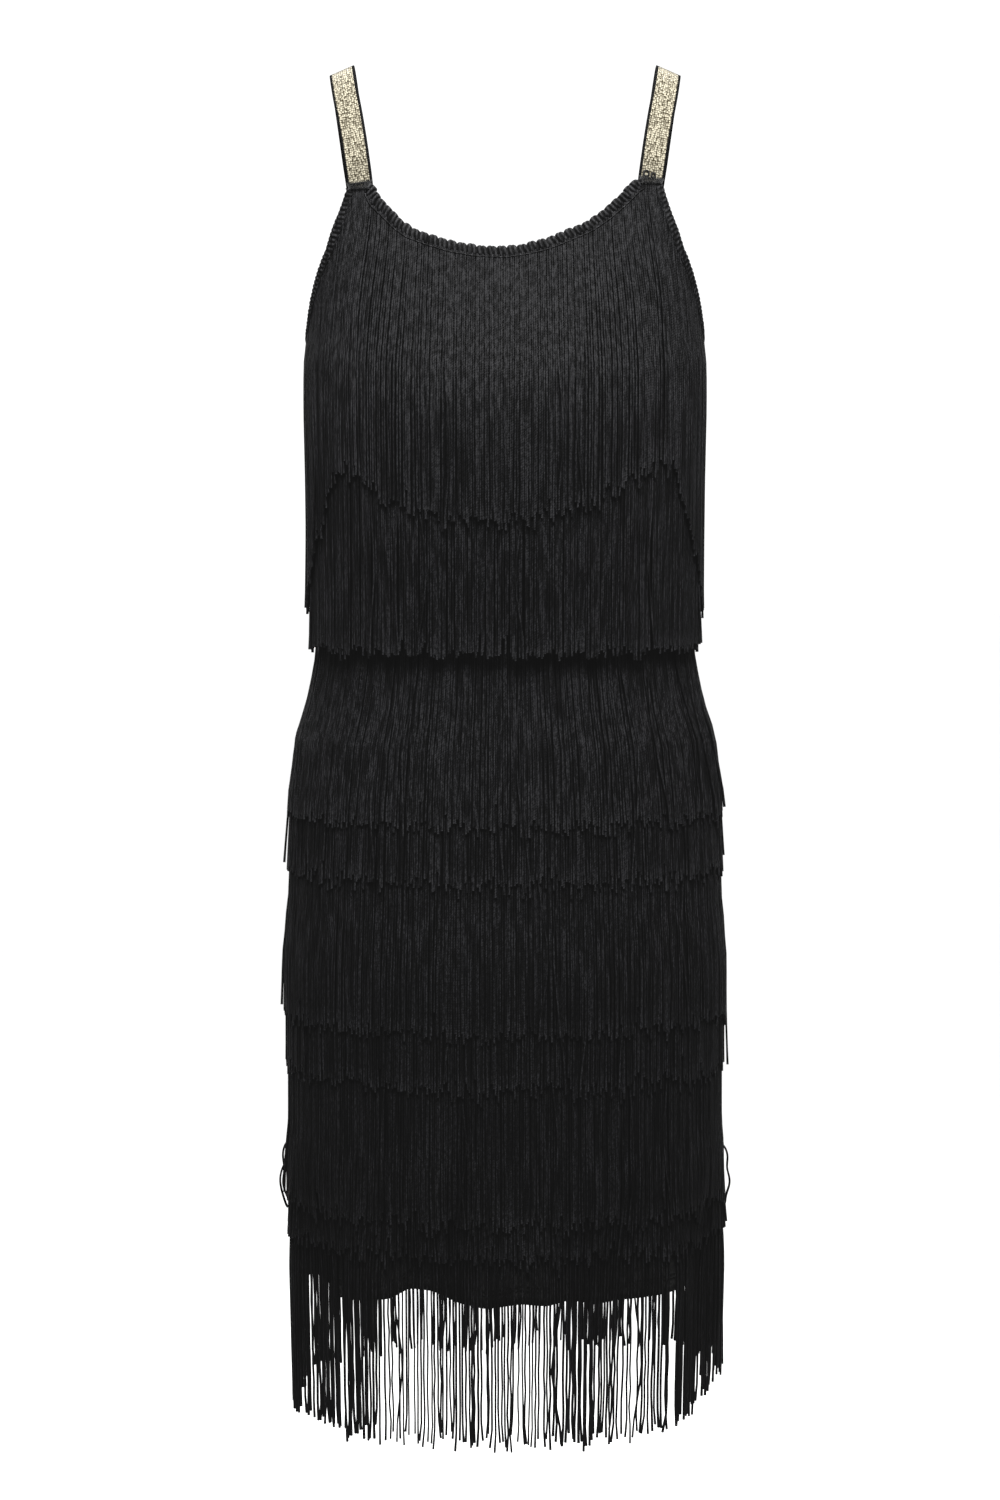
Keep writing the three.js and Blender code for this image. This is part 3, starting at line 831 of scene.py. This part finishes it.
# %% Ribbed braid
BRAID_GAP = 1.2 * MM
BRAID_SEED = 50
RIB_STEPS = 8
RIBS_PER_KNOB = 2
RIB_ON_MAP = 5 * MM
RIB_SLANT = 0.5
RIB_FATNESS = (0.75, 1.25)
RIB_ROUNDNESS = 0.6
KNOB_WITHIN = 0.1
KNOB_ON_SLOPE = 0.8
FINE_STEPS = 2000
EDGE_FEEL = 0.004
LINE_THREAD = 0.4 * MM
LINE_OFF = 2.6 * MM


def edge_frame(turn):
    """Points of the top edge with the directions out of the cloth and down into it."""
    behind, point, ahead = (sheath_form(t, top_edge(t)) for t in (turn - EDGE_FEEL, turn, turn + EDGE_FEEL))
    out = outward(sheath_form, turn, top_edge(turn))
    into = unit(np.cross(out, unit(ahead - behind)))
    return point, out, np.where(into[:, 2:] > 0, -into, into)


def wound(rng, phase):
    """Rounded crests at each whole step of phase, some fatter than others."""
    fatness = rng.uniform(*RIB_FATNESS, int(phase.max()) + 2)
    return fatness[phase.astype(int)] * np.abs(np.sin(math.pi * phase)) ** RIB_ROUNDNESS


def braid_parts(rng, start, end, pitch, height, swell, knob):
    """A lip along the edge with a rib every pitch and larger knobs where it is steep; its stitching."""
    fine = np.radians(np.linspace(start + TAB_HALF, end - TAB_HALF, FINE_STEPS))
    along = distance_along(sheath_form(fine, top_edge(fine)))
    ribs = round(along[-1] / pitch)
    count = np.linspace(0.0, ribs, ribs * RIB_STEPS + 1)
    point, out, into = edge_frame(np.interp(count / ribs * along[-1], along, fine))
    below, stand, swells = (column[:, None] for column in np.array(LIP).T)
    phase = count[None, :] + RIB_SLANT * (1.0 - below)
    rib, crest = wound(rng, phase), wound(rng, phase / RIBS_PER_KNOB)
    steep = 1.0 + KNOB_ON_SLOPE * (1.0 + into[:, 2])
    down = below * height - knob * steep * crest * (below < KNOB_WITHIN)
    off = BRAID_GAP * (stand > 0) + stand * MM + np.sign(stand) * swell * (rib - 0.5) * swells
    points = point + into * down[..., None] + out * off[..., None]
    flat = np.stack(np.broadcast_arrays(count * RIB_ON_MAP, RIB_SLANT / 2 * (1.0 - below)), axis=-1)
    path = point + into * (height + LINE_THREAD) + out * LINE_OFF
    return grid_part(points, flat), one_thread(path, LINE_THREAD, out)


braids, braid_lines = {}, []
rng = np.random.default_rng(BRAID_SEED)
for name, start, end, *sizes in BRAIDS:
    braids[name], stitch_line = braid_parts(rng, start, end, *np.array(sizes) * MM)
    braid_lines.append(stitch_line)
print("ribs of braid:", sum(len(part[1]) for part in braids.values()) // (RIB_STEPS * (len(LIP) - 1)))

# %% [markdown]
# ## Hanging one row of fringe
#
# Each strand starts under its heading and falls close to the form, a little further out wherever it
# passes over a heading below. On the way down neighbouring strands draw together into soft locks, sway
# with them, waver slightly and end at uneven lengths, some with a small hook. A simulation of so many
# strands would be slow and hard to steer, so each of these habits is a line or two of sums. All the
# chance comes from a seeded generator, so the dress is the same each time.

# %% Where strands start and end
STRAND_RADIUS = 0.72 * MM
SEWN_GAP = 0.6 * MM
LAYER_PITCH = 1.6 * MM
LAYER_RAMP = 25 * MM
TUFT_WAVES = (11, 17, 29, 43)
TUFT_SHARE = 0.6
SHORT_CHANCE = 0.03
SHORT_BY = (5 * MM, 16 * MM)


def spaced(rng, line, turns, pitch, jitter):
    """Places along a line about one pitch apart, and the turns there."""
    along = distance_along(line)
    count = int(along[-1] / pitch)
    place = (np.arange(count) + 0.5 + rng.uniform(-jitter, jitter, count)) * along[-1] / count
    return place, np.interp(place, along, turns)


def stand_off(z, headings_below):
    """Distance from the form: one more layer for each heading passed on the way down."""
    off = np.full_like(z, SEWN_GAP + STRAND_RADIUS)
    for heading in headings_below:
        off = off + LAYER_PITCH * smooth_rise(-z, -heading - LAYER_RAMP, -heading)
    return off


def slow_noise(rng, place, length, waves):
    """A gentle line along the row that meets itself after one length."""
    value = np.zeros_like(place)
    for k in waves:
        value += rng.normal() * np.sin(2 * math.pi * (k * place / length + rng.random()))
    return value / math.sqrt(len(waves))


def uneven_tips(rng, place, spread):
    """How far each tip of a row is above or below its line, in tufts that end together."""
    count = len(place)
    tufts = TUFT_SHARE * spread * slow_noise(rng, place, np.ptp(place), TUFT_WAVES)
    short = rng.random(count) < SHORT_CHANCE
    return rng.normal(0.0, spread, count) + tufts + short * rng.uniform(*SHORT_BY, count)


print("strand thickness:", round(2 * STRAND_RADIUS / MM, 2), "mm")

# %% How strands stray on the way down
LOCK_CHANCE = 0.3
LOCK_PULL = 0.10
LOCK_MARGIN = 1.5 * MM
LOCK_CROWN = 0.3 * MM
SWAY = 0.5 * MM
SWAY_WAVES = (5, 9, 14, 23)
LEAN = 0.25 * MM
WAVER_LEAST = 0.05 * MM
WAVER_MOST = 0.2 * MM
WAVER_BEATS = (2.5, 6.0)
HOOK = 0.3 * MM
HOOK_FROM = 0.88
LOOSE_CHANCE = 0.02
LOOSE_FROM = 0.4
LOOSE_BOW = (2 * MM, 6 * MM)
LOOSE_LIFT = (1 * MM, 4 * MM)
# what is added to those for strands that hang freely
FREE_LOCK_CHANCE = 0.1
FREE_LOCK_PULL = 0.08
FREE_WAVER = 0.3 * MM
FREE_HOOK = 0.5 * MM


def astray(rng, place, share, free, fan):
    """How far strands go sideways at each share of their length, and how far they stand out there."""
    count = len(place)
    lock = np.cumsum(rng.random(count) < LOCK_CHANCE + FREE_LOCK_CHANCE * free)
    middle = np.array([place[lock == k].mean() for k in lock])
    half = np.array([np.ptp(place[lock == k]) for k in lock]) / 2 + LOCK_MARGIN
    pull = rng.uniform(0.0, LOCK_PULL + FREE_LOCK_PULL * free, lock.max() + 1)[lock]
    sway = SWAY * slow_noise(rng, place, np.ptp(place), SWAY_WAVES)
    lean = rng.normal(0.0, LEAN, count) + rng.normal(0.0, LEAN, lock.max() + 1)[lock]
    waver = rng.uniform(WAVER_LEAST, WAVER_MOST + FREE_WAVER * free, count)
    beat = rng.uniform(*WAVER_BEATS, count)
    start = rng.uniform(0.0, 2 * math.pi, count)
    hook = rng.normal(0.0, HOOK + FREE_HOOK * free, count)
    is_loose = rng.random(count) < LOOSE_CHANCE
    bow = is_loose * rng.uniform(*LOOSE_BOW, count) * rng.choice((-1, 1), count)
    lift = is_loose * rng.uniform(*LOOSE_LIFT, count)
    crown = LOCK_CROWN * (1.0 - ((place - middle) / half) ** 2)
    shaken = np.sin(beat[:, None] * 2 * math.pi * share + start[:, None]) * share**0.5
    hooked = np.clip((share - HOOK_FROM) / (1.0 - HOOK_FROM), 0.0, 1.0) ** 2
    bowed = np.sin(math.pi * np.clip((share - LOOSE_FROM) / (1.0 - LOOSE_FROM), 0.0, 1.0)) ** 2
    side = ((middle - place) * pull)[:, None] * smooth_rise(share, 0.1, 0.9)
    side = side + np.broadcast_to(fan, count)[:, None] * smooth_rise(share, 0.0, 0.5)
    side = side + sway[:, None] * share**1.6 + lean[:, None] * share
    side = side + waver[:, None] * shaken + hook[:, None] * hooked + bow[:, None] * bowed
    return side, crown, lift


print("locks of about", round(1 / LOCK_CHANCE, 1), "strands")

# %% One row of fringe
STRAND_POINTS = 15
STRAND_DEPTH = 0.6 * MM
UNEVEN_THICK = (0.88, 1.12)
FREE_THINNER = 0.1
CUT_TIP_SWELL = 1.15
LEAST_SPEED = 0.05


def hang_strands(rng, place, turn, root, tip, form, below, extra_off=0.0, free=0.0, fan=0.0):
    """Strands of one row from heights root to tip, over the headings below; free is 0 to 1."""
    count = len(place)
    share = np.linspace(0.0, 1.0, STRAND_POINTS)[None, :]
    side, crown, lift = astray(rng, place, share, free, fan)
    z = root[:, None] + (tip - root)[:, None] * share
    base = np.broadcast_to(turn[:, None], z.shape)
    ahead, behind = form(base + FEEL_ROUND / 2, z), form(base - FEEL_ROUND / 2, z)
    speed = np.linalg.norm(ahead - behind, axis=-1) / FEEL_ROUND
    moved = base + side / np.maximum(speed, LEAST_SPEED)
    depth = rng.uniform(0.0, STRAND_DEPTH, count) + crown
    off = stand_off(z, below) + extra_off + depth[:, None] * smooth_rise(share, 0.0, 0.3)
    off = off + lift[:, None] * share**2
    away = outward(form, moved, z)
    thick = STRAND_RADIUS * (1.0 - FREE_THINNER * free) * rng.uniform(*UNEVEN_THICK, count)
    thick = np.repeat(thick[:, None], STRAND_POINTS, axis=1)
    thick[:, -1] *= CUT_TIP_SWELL
    return tubes(form(moved, z) + away * off[..., None], thick, away)


print("points along a strand:", STRAND_POINTS)

# %% [markdown]
# ## The neck and armhole fringe
#
# The first fringe hangs straight from the braid, so its lower edge repeats the scoop of the neck and
# the dips of the armholes, trimmed a little flatter than the scoop itself. It falls plumb from the bust
# and hides the top of the next row. At the tabs the strands fan out, because two trims meet there.

# %% Neck and armhole fringe
CHEST_TOP_MM = -215
EDGE_SEED = 100
EDGE_PITCH = 1.6 * MM
EDGE_JITTER = 0.2
EDGE_SPREAD = 3.2 * MM
EDGE_SPACED_Z = -200 * MM
FAN_REACH = 9 * MM
FAN_WITHIN = math.radians(30)
TRIMMED_LEVEL = -101 * MM
TRIMMED_SHARE = 0.24
TUCK_AT_TAB = 1.5 * MM
TUCK_UNDER_BRAID = 2.0 * MM
LEAST_FALL = 0.35


def edge_fringe(rng, name, start, end, height):
    """Strands that hang from the braid between two turns, in degrees."""
    fine = np.radians(np.linspace(start, end, FINE_STEPS))
    line = plumb_form(fine, np.full_like(fine, EDGE_SPACED_Z))
    place, turn = spaced(rng, line, fine, EDGE_PITCH, EDGE_JITTER)
    fall = np.clip(-edge_frame(turn)[2][:, 2], LEAST_FALL, 1.0)
    from_tab = np.abs(np.abs(np.abs(from_front(turn)) - SIDE) - SIDE / 2)
    near_tab = 1.0 - smooth_rise(from_tab, 0.0, FAN_WITHIN)
    under_braid = smooth_rise(np.degrees(from_tab), TAB_HALF - 1, TAB_HALF + 1)
    tucked_by = TUCK_AT_TAB + (height - TUCK_UNDER_BRAID - TUCK_AT_TAB) * under_braid
    root = top_edge(turn) - tucked_by / fall
    trimmed = (TRIMMED_LEVEL - top_edge(turn)) * TRIMMED_SHARE
    if not name.startswith("neck"):
        trimmed = trimmed * near_tab
    tip = top_edge(turn) - height - STRAND_DROP + trimmed + uneven_tips(rng, place, EDGE_SPREAD)
    fan = np.sign(np.sin(2 * turn)) * FAN_REACH * near_tab
    gap = BRAID_GAP - SEWN_GAP
    below = [CHEST_TOP_MM * MM]
    return hang_strands(rng, place, turn, root, tip, plumb_form, below, extra_off=gap, fan=fan)


for number, (name, start, end, _, height, _, _) in enumerate(BRAIDS):
    strands = edge_fringe(np.random.default_rng(EDGE_SEED + number), name, start, end, height * MM)
    add_piece(f"{name}_fringe", strands, fringe_black, [f"fringe_{name}"])
    add_piece(f"{name}_braid", braids[name], braid_black)
add_piece("braid_stitching", joined(braid_lines), braid_black)

# %% [markdown]
# ## The tiers
#
# Eight more rows go right round: one at the chest, then pairs close together at waist, hip and thigh,
# and one low down that falls past the hem. Each row has a narrow woven heading. The lowest row is more
# open than the rest, so that light shows between its strands. One table and one loop make them all, so
# a row can be moved by changing a single number.

# %% Tables of the tiers
# name, top of the heading in mm, strand spacing in mm, tip spread in mm, freedom
TIERS = [
    ("chest", CHEST_TOP_MM, 1.6, 2.0, 0.0),
    ("waist_upper", -338, 1.6, 3.2, 0.0),
    ("waist_lower", -379, 1.6, 3.8, 0.0),
    ("hip_upper", -486, 1.6, 3.2, 0.0),
    ("hip_lower", -525, 1.6, 3.8, 0.0),
    ("thigh_upper", -624, 1.6, 3.8, 0.0),
    ("thigh_lower", -649, 1.6, 3.8, 0.0),
    ("hem", -792, 2.4, 3.2, 1.0),
]
# turn from the centre front in degrees, how far the tips of the hem row rise there in mm
HEM_TIPS = [
    (-180, 16), (-90, 17), (-70, 10), (-49, 8), (0, 7), (39, 9), (62, 13), (75, 25), (90, 36), (180, 16),
]
# turn from the centre front in degrees, share of the hem strands that are kept there
HEM_KEPT = [
    (-180, 0.77), (-131, 0.7), (-115, 0.9), (-70, 0.9), (-57, 0.75), (-48, 0.75), (-40, 1.0),
    (40, 1.0), (47, 0.72), (58, 0.72), (70, 1.0), (115, 1.0), (131, 0.7), (180, 0.77),
]
print("tiers:", len(TIERS))

# %% Tiers of fringe
TIER_SEED = 200
TIER_JITTER = 0.22
TIP_EXTRA = 4 * MM
TUCKED_IN_HEADING = 2 * MM
HEADING_HEIGHT = 8 * MM
HEADING_THICK = 0.5 * MM
HEADING_COLUMNS = 240
HEADING_MAP_RADIUS = 0.14
# share of the heading's height, share of its thickness
HEADING_OUTLINE = [(0.0, 0.0), (0.0, 0.8), (0.15, 1.0), (0.85, 1.0), (1.0, 0.8), (1.0, 0.0), (0.0, 0.0)]


def heading_part(form, top):
    """A narrow woven strip sewn round the form."""
    down, thick = (column[:, None] for column in np.array(HEADING_OUTLINE).T)
    around = np.linspace(-math.pi, math.pi, HEADING_COLUMNS, endpoint=False)
    turn, z = np.broadcast_arrays(around, top - down * HEADING_HEIGHT)
    off = SEWN_GAP / 2 + thick * HEADING_THICK
    points = form(turn, z) + outward(form, turn, z) * off[..., None]
    return grid_part(points, np.stack((turn * HEADING_MAP_RADIUS, z), axis=-1), wrap=True)


def tier_fringe(rng, form, top, below, pitch, spread, free):
    """Strands that hang all round from one heading."""
    line = form(full_turn, np.full_like(full_turn, top))
    place, turn = spaced(rng, line, full_turn, pitch, TIER_JITTER)
    if free:
        kept = rng.random(len(place)) < read_table(HEM_KEPT, turn)
        place, turn = place[kept], turn[kept]
    root = np.full(len(turn), top - HEADING_HEIGHT + TUCKED_IN_HEADING)
    rise = free * read_table(HEM_TIPS, turn) * MM
    tip = root - STRAND_DROP - TIP_EXTRA + rise + uneven_tips(rng, place, spread)
    return hang_strands(rng, place, turn, root, tip, form, below, free=free)


tier_pieces, headings = [], []
for number, (name, top, pitch, spread, free) in enumerate(TIERS):
    form = plumb_form if name == "chest" else sheath_form
    below = [] if name == "chest" else [row[1] * MM for row in TIERS if row[1] < top]
    rng = np.random.default_rng(TIER_SEED + number)
    strands = tier_fringe(rng, form, top * MM, below, pitch * MM, spread * MM, free)
    headings.append(heading_part(form, top * MM))
    tier_pieces.append(add_piece(f"{name}_fringe", strands, fringe_black, [f"fringe_{name}"]))
tier_pieces.append(add_piece("fringe_headings", joined(headings), jersey_black))

# %% [markdown]
# ## Stray strands
#
# At the sides a few strands have slipped out of their row and bow away from the dress, which shows
# against the light. Chance would put them anywhere, so they are placed where the photograph has
# them. Each is one more thread, led from the row outwards and back in again.

# %% Stray strands
STRAY_POINTS = 40
STRAY_ROUNDNESS = 0.7
LOW_TIERS = TIERS[5:]
# turn in degrees, top and bottom in mm, how far it bows out in mm, how far it wriggles in mm, wriggles
STRAYS = [
    (-91, -565, -680, 2.6, 0.6, 2),
    (-88, -640, -706, 2.0, 0.5, 1),
    (-92, -790, -840, 3.5, 0.8, 2),
    (-87, -802, -836, 4.5, 0.6, 1),
    (91, -792, -836, 3.5, 0.8, 2),
    (88, -590, -650, 2.0, 0.5, 1),
]


def stray_part(turn, top, bottom, bow, wriggle, times):
    share = np.linspace(0.0, 1.0, STRAY_POINTS)
    z = (top + (bottom - top) * share) * MM
    turn = np.full_like(z, math.radians(turn))
    beat = 2 * math.pi * times * share
    out = bow * np.sin(math.pi * share) ** STRAY_ROUNDNESS + wriggle * np.sin(beat)
    off = stand_off(z, [row[1] * MM for row in LOW_TIERS]) + out * MM
    away = outward(sheath_form, turn, z)
    path = sheath_form(turn, z) + away * off[:, None]
    path[:, 1] += wriggle * MM * np.cos(beat)
    return one_thread(path, STRAND_RADIUS, away)


strays = [stray_part(*row) for row in STRAYS]
tier_pieces.append(add_piece("stray_strands", joined(strays), fringe_black))

# %% [markdown]
# ## Straps
#
# Each strap is one length of flat elastic, tucked behind the front tab, carried over the shoulder and
# tucked behind the back tab. It slopes outwards over the shoulder as the wearer's body makes it. A flat
# band along a curve could flip over at the top, so we work out the line and its width direction
# ourselves and lay a grid between them.

# %% Line of the straps
STRAP_STEPS = 160
STRAP_SLOPE = 0.43
STRAP_TURN = 0.3
STRAP_OVER = 1.22
TUCK_BEHIND = 2.4 * MM
# where the ends are tucked in, in degrees from the centre front
TUCK_TURNS = (47, 133)
TUCK_DEPTHS = (22 * MM, 4 * MM)
CURVE_STEPS = 12
# forward (less than 0) or back, height, distance from the centre of the dress, in mm
STRAP_STATIONS = [
    (-45, -66, 105.5),
    (-37, -42, 109.5),
    (-27, -22, 113.5),
    (-14, -9, 116),
    (0, -4, 117),
    (13, -9, 116.5),
    (24, -22, 115),
    (33, -42, 112.5),
    (40, -66, 109.5),
]


def tucked(turn, below):
    """A point behind the tab, a little below its top edge."""
    turn, z = np.radians([turn]), np.array([TAB_Z - below])
    return (sheath_form(turn, z) - outward(sheath_form, turn, z) * TUCK_BEHIND)[0]


def smooth_through(points, count):
    """A smooth line through points, with even steps, and the distance along it."""
    p = np.concatenate((2 * points[:1] - points[1:2], points, 2 * points[-1:] - points[-2:-1]))
    s = np.linspace(0.0, 1.0, CURVE_STEPS, endpoint=False)[:, None]
    line = []
    for a, b, c, d in zip(p[:-3], p[1:-2], p[2:-1], p[3:]):
        curve = 2 * b + (c - a) * s + (2 * a - 5 * b + 4 * c - d) * s**2 + (3 * b - a - 3 * c + d) * s**3
        line.append(0.5 * curve)
    line = np.concatenate(line + [points[-1:]])
    along = distance_along(line)
    even = np.linspace(0.0, along[-1], count)
    return np.stack([np.interp(even, along, line[:, k]) for k in range(3)], axis=1), even


def strap_frame():
    """Middle line of the wearer's left strap, its width direction and the distance along it."""
    front, back = ([tucked(turn, depth) for depth in TUCK_DEPTHS] for turn in TUCK_TURNS)
    free = [(across * MM, y * MM, z * MM) for y, z, across in STRAP_STATIONS]
    line, along = smooth_through(np.array(front + free + back[::-1]), STRAP_STEPS)
    over = np.clip(np.linspace(-STRAP_OVER, STRAP_OVER, STRAP_STEPS), -1.0, 1.0)
    width = np.stack((np.ones_like(over), -STRAP_TURN * over, -STRAP_SLOPE * (1.0 - over**2)), axis=1)
    forward = unit(np.gradient(line, axis=0))
    width = unit(width - (width * forward).sum(axis=1, keepdims=True) * forward)
    return line, width, along


strap_line, strap_width, strap_along = strap_frame()
print("strap length:", round(strap_along[-1], 3), "m")

# %% Straps
STRAP_THICK = 1.2 * MM
STRAP_ACROSS = 17


def strap_part(side):
    across = np.linspace(-0.5, 0.5, STRAP_ACROSS) * STRAP_WIDTH
    points = strap_line[:, None] + strap_width[:, None] * across[:, None]
    flat = np.stack(np.broadcast_arrays(strap_along[:, None], across), axis=-1)
    points, faces, flat = grid_part(points * np.array((side, 1.0, 1.0)), flat)
    return points, faces[:, ::side], flat


for name, side in (("left", 1), ("right", -1)):
    piece = add_piece(f"{name}_strap", strap_part(side), gold_elastic, [f"strap_{name}"])
    thicken(piece, STRAP_THICK, 0.0)

# %% [markdown]
# ## Stitches on the straps
#
# Black thread is sewn to and fro over each strap end, from the fringe of the tab up onto the gold. In
# front of the wearer's left shoulder it was left slack, so two small loops lie on the gold. Against gold
# every stitch shows, so this thread too is real.

# %% Strap stitches
ZIGZAG_TEETH = 9
ZIGZAG_THREAD = 0.5 * MM
ZIGZAG_ABOVE_TAB = 3.0 * MM
ZIGZAG_BELOW_TAB = 2.5 * MM
ZIGZAG_OFF_TAB = 3.4 * MM
# middle of a tab, in degrees from the centre front or back
TAB_MIDDLE = 46
LOOP_POINTS = 14
# along the strap's width, along its length, radius, in mm
SLACK_LOOPS = [(-4.5, 2.2, 2.0), (0.8, 1.6, 1.5)]


def tab_turn(side, at_back, share):
    """Turn across a tab, from -1 at its inner corner to 1 at its outer one."""
    from_centre = TAB_MIDDLE + share * TAB_HALF
    return side * np.radians(180 - from_centre if at_back else from_centre)


def on_strap(side, at_back, across, ahead):
    """Points on a strap near one tab, from distances across and along it, and the way out."""
    half = slice(STRAP_STEPS // 2, None) if at_back else slice(0, STRAP_STEPS // 2)
    height = top_edge(tab_turn(side, at_back, 0.0)) + ZIGZAG_ABOVE_TAB
    index = half.start + np.argmin(np.abs(strap_line[half, 2] - height))
    upward = unit(strap_line[index + (-2 if at_back else 2)] - strap_line[index])
    away = np.cross(strap_width[index], upward)
    away = away * np.sign(away[1]) * (1.0 if at_back else -1.0)
    base = strap_line[index] + away * (STRAP_THICK / 2 + ZIGZAG_THREAD)
    points = base + strap_width[index] * across[:, None] + upward * ahead[:, None]
    mirror = np.array((side, 1.0, 1.0))
    return points * mirror, away * mirror


def zigzag_part(side, at_back, start):
    """One run of thread to and fro across a tab."""
    share = np.linspace(-1.0, 1.0, 2 * ZIGZAG_TEETH + 1)
    turn = tab_turn(side, at_back, share)
    z = top_edge(turn) - ZIGZAG_BELOW_TAB
    low = sheath_form(turn, z) + outward(sheath_form, turn, z) * ZIGZAG_OFF_TAB
    high, away = on_strap(side, at_back, share * STRAP_WIDTH / 2, np.zeros_like(share))
    is_high = (np.arange(len(share)) + start) % 2 == 1
    return one_thread(np.where(is_high[:, None], high, low), ZIGZAG_THREAD, away)


def loop_part(across, ahead, radius):
    turn = np.linspace(0.0, 2 * math.pi, LOOP_POINTS)
    path, away = on_strap(1, False, across + radius * np.cos(turn), ahead + radius * np.sin(turn))
    return one_thread(path, ZIGZAG_THREAD, away)


tab_ends = [(side, at_back, start) for side in (1, -1) for at_back in (False, True) for start in (0, 1)]
stitch_parts = [zigzag_part(*tab_end) for tab_end in tab_ends]
stitch_parts += [loop_part(*row) for row in np.array(SLACK_LOOPS) * MM]
add_piece("strap_sewing", joined(stitch_parts), jersey_black)

# %% [markdown]
# ## What is cut from cloth
#
# The jersey is a stretch knit, so its flat panels are a little narrower than the worn form. Their width
# and flat area are worked out here from the form.

# %% Flat sizes of the cloth
STRETCH = 1.06
HIP_Z = -620 * MM
PANEL_WIDTH = max(girth(z) for z in (BUST_Z, HIP_Z, HEM_Z)) / 2 / STRETCH
for piece, part in ((sheath_front, front_part), (sheath_back, back_part)):
    area_of(part) / STRETCH

# %% [markdown]
# ## Floor and light
#
# The dress hangs in a white studio. Soft white light comes from all round and from the pale floor, as in
# a light tent, so black thread shows its grain without hard shadows. One lamp high above the front picks
# out the slope of the bust, and a weaker one does the same for the back.

# %% Floor
FLOOR_Z = -1.6
FLOOR_HALF = 15.0
FLOOR_GRAIN_PER_METRE = 3.0
FLOOR_DARK = (0.88, 0.88, 0.88)
FLOOR_LIGHT = (0.90, 0.90, 0.90)

floor_paint, floor_tree, floor_shader = new_material("pale_floor", roughness=0.9, shine=0.5)
floor_place = new_node(floor_tree, "TexCoord").outputs["Object"]
floor_grain = use_group(
    floor_tree,
    fibre_group,
    Place=floor_place,
    Scale=FLOOR_GRAIN_PER_METRE,
    Dark=FLOOR_DARK,
    Light=FLOOR_LIGHT,
)
feed(floor_tree, floor_shader["Base Color"], floor_grain["Color"])
floor_mesh = bpy.data.meshes.new("studio_floor")
corners = [(x * FLOOR_HALF, y * FLOOR_HALF, FLOOR_Z) for x, y in ((-1, -1), (1, -1), (1, 1), (-1, 1))]
floor_mesh.from_pydata(corners, [], [(0, 1, 2, 3)])
floor_mesh.materials.append(floor_paint)
floor = bpy.data.objects.new("studio_floor", floor_mesh)
bpy.context.scene.collection.objects.link(floor)
print("floor", 2 * FLOOR_HALF, "m across")

# %% Lamps and light tent
TENT_LIGHT = 1.14
LAMP_WIDTH = 1.2
LAMP_HEIGHT = 0.7
LAMP_SPREAD = math.radians(60)
# name, place, aim, power in watts
LAMPS = [
    ("front_lamp", (0.05, -0.72, 0.72), (0.0, -0.09, -0.17), 39.0),
    ("back_lamp", (-0.05, 0.72, 0.72), (0.0, 0.09, -0.17), 27.0),
]


def add_lamp(name, place, aim, power):
    """A soft rectangular lamp that is itself out of sight."""
    glow = bpy.data.lights.new(name, "AREA")
    glow.shape = "RECTANGLE"
    glow.size = LAMP_WIDTH
    glow.size_y = LAMP_HEIGHT
    glow.spread = LAMP_SPREAD
    glow.energy = power
    lamp = bpy.data.objects.new(name, glow)
    lamp.location = place
    lamp.visible_camera = False
    lamp.rotation_euler = (Vector(aim) - Vector(place)).to_track_quat("-Z", "Y").to_euler()
    bpy.context.scene.collection.objects.link(lamp)


for row in LAMPS:
    add_lamp(*row)
world = bpy.data.worlds.new("studio")
world.use_nodes = True
tent = world.node_tree.nodes["Background"].inputs
tent["Color"].default_value = (1.0, 1.0, 1.0, 1.0)
tent["Strength"].default_value = TENT_LIGHT
bpy.context.scene.world = world
print(len(LAMPS), "lamps in a white tent of strength", TENT_LIGHT)

# %% [markdown]
# ## Developing the picture
#
# In the photograph the darkest tones are lifted and drawn together, so that black fringe on black
# fringe reads softly. Paler materials would spoil the dress for any other light, so the picture itself
# is developed that way, with a tone curve.

# %% Tones of the picture
# brightness of the scene, brightness in the picture
DARK_TONES = [
    (0.0, 0.006), (0.0048, 0.0072), (0.0097, 0.0091), (0.016, 0.0144), (0.0452, 0.0513), (1.0, 1.0),
]
ALL_COLOURS = 3
picture = bpy.context.scene.view_settings
picture.view_transform = "Standard"
picture.use_curve_mapping = True
tones = picture.curve_mapping.curves[ALL_COLOURS].points
tones[0].location = DARK_TONES[0]
for tone in DARK_TONES[1:-1]:
    tones.new(*tone)
for point in tones:
    point.handle_type = "VECTOR"
picture.curve_mapping.update()
print("points on the tone curve:", len(tones))
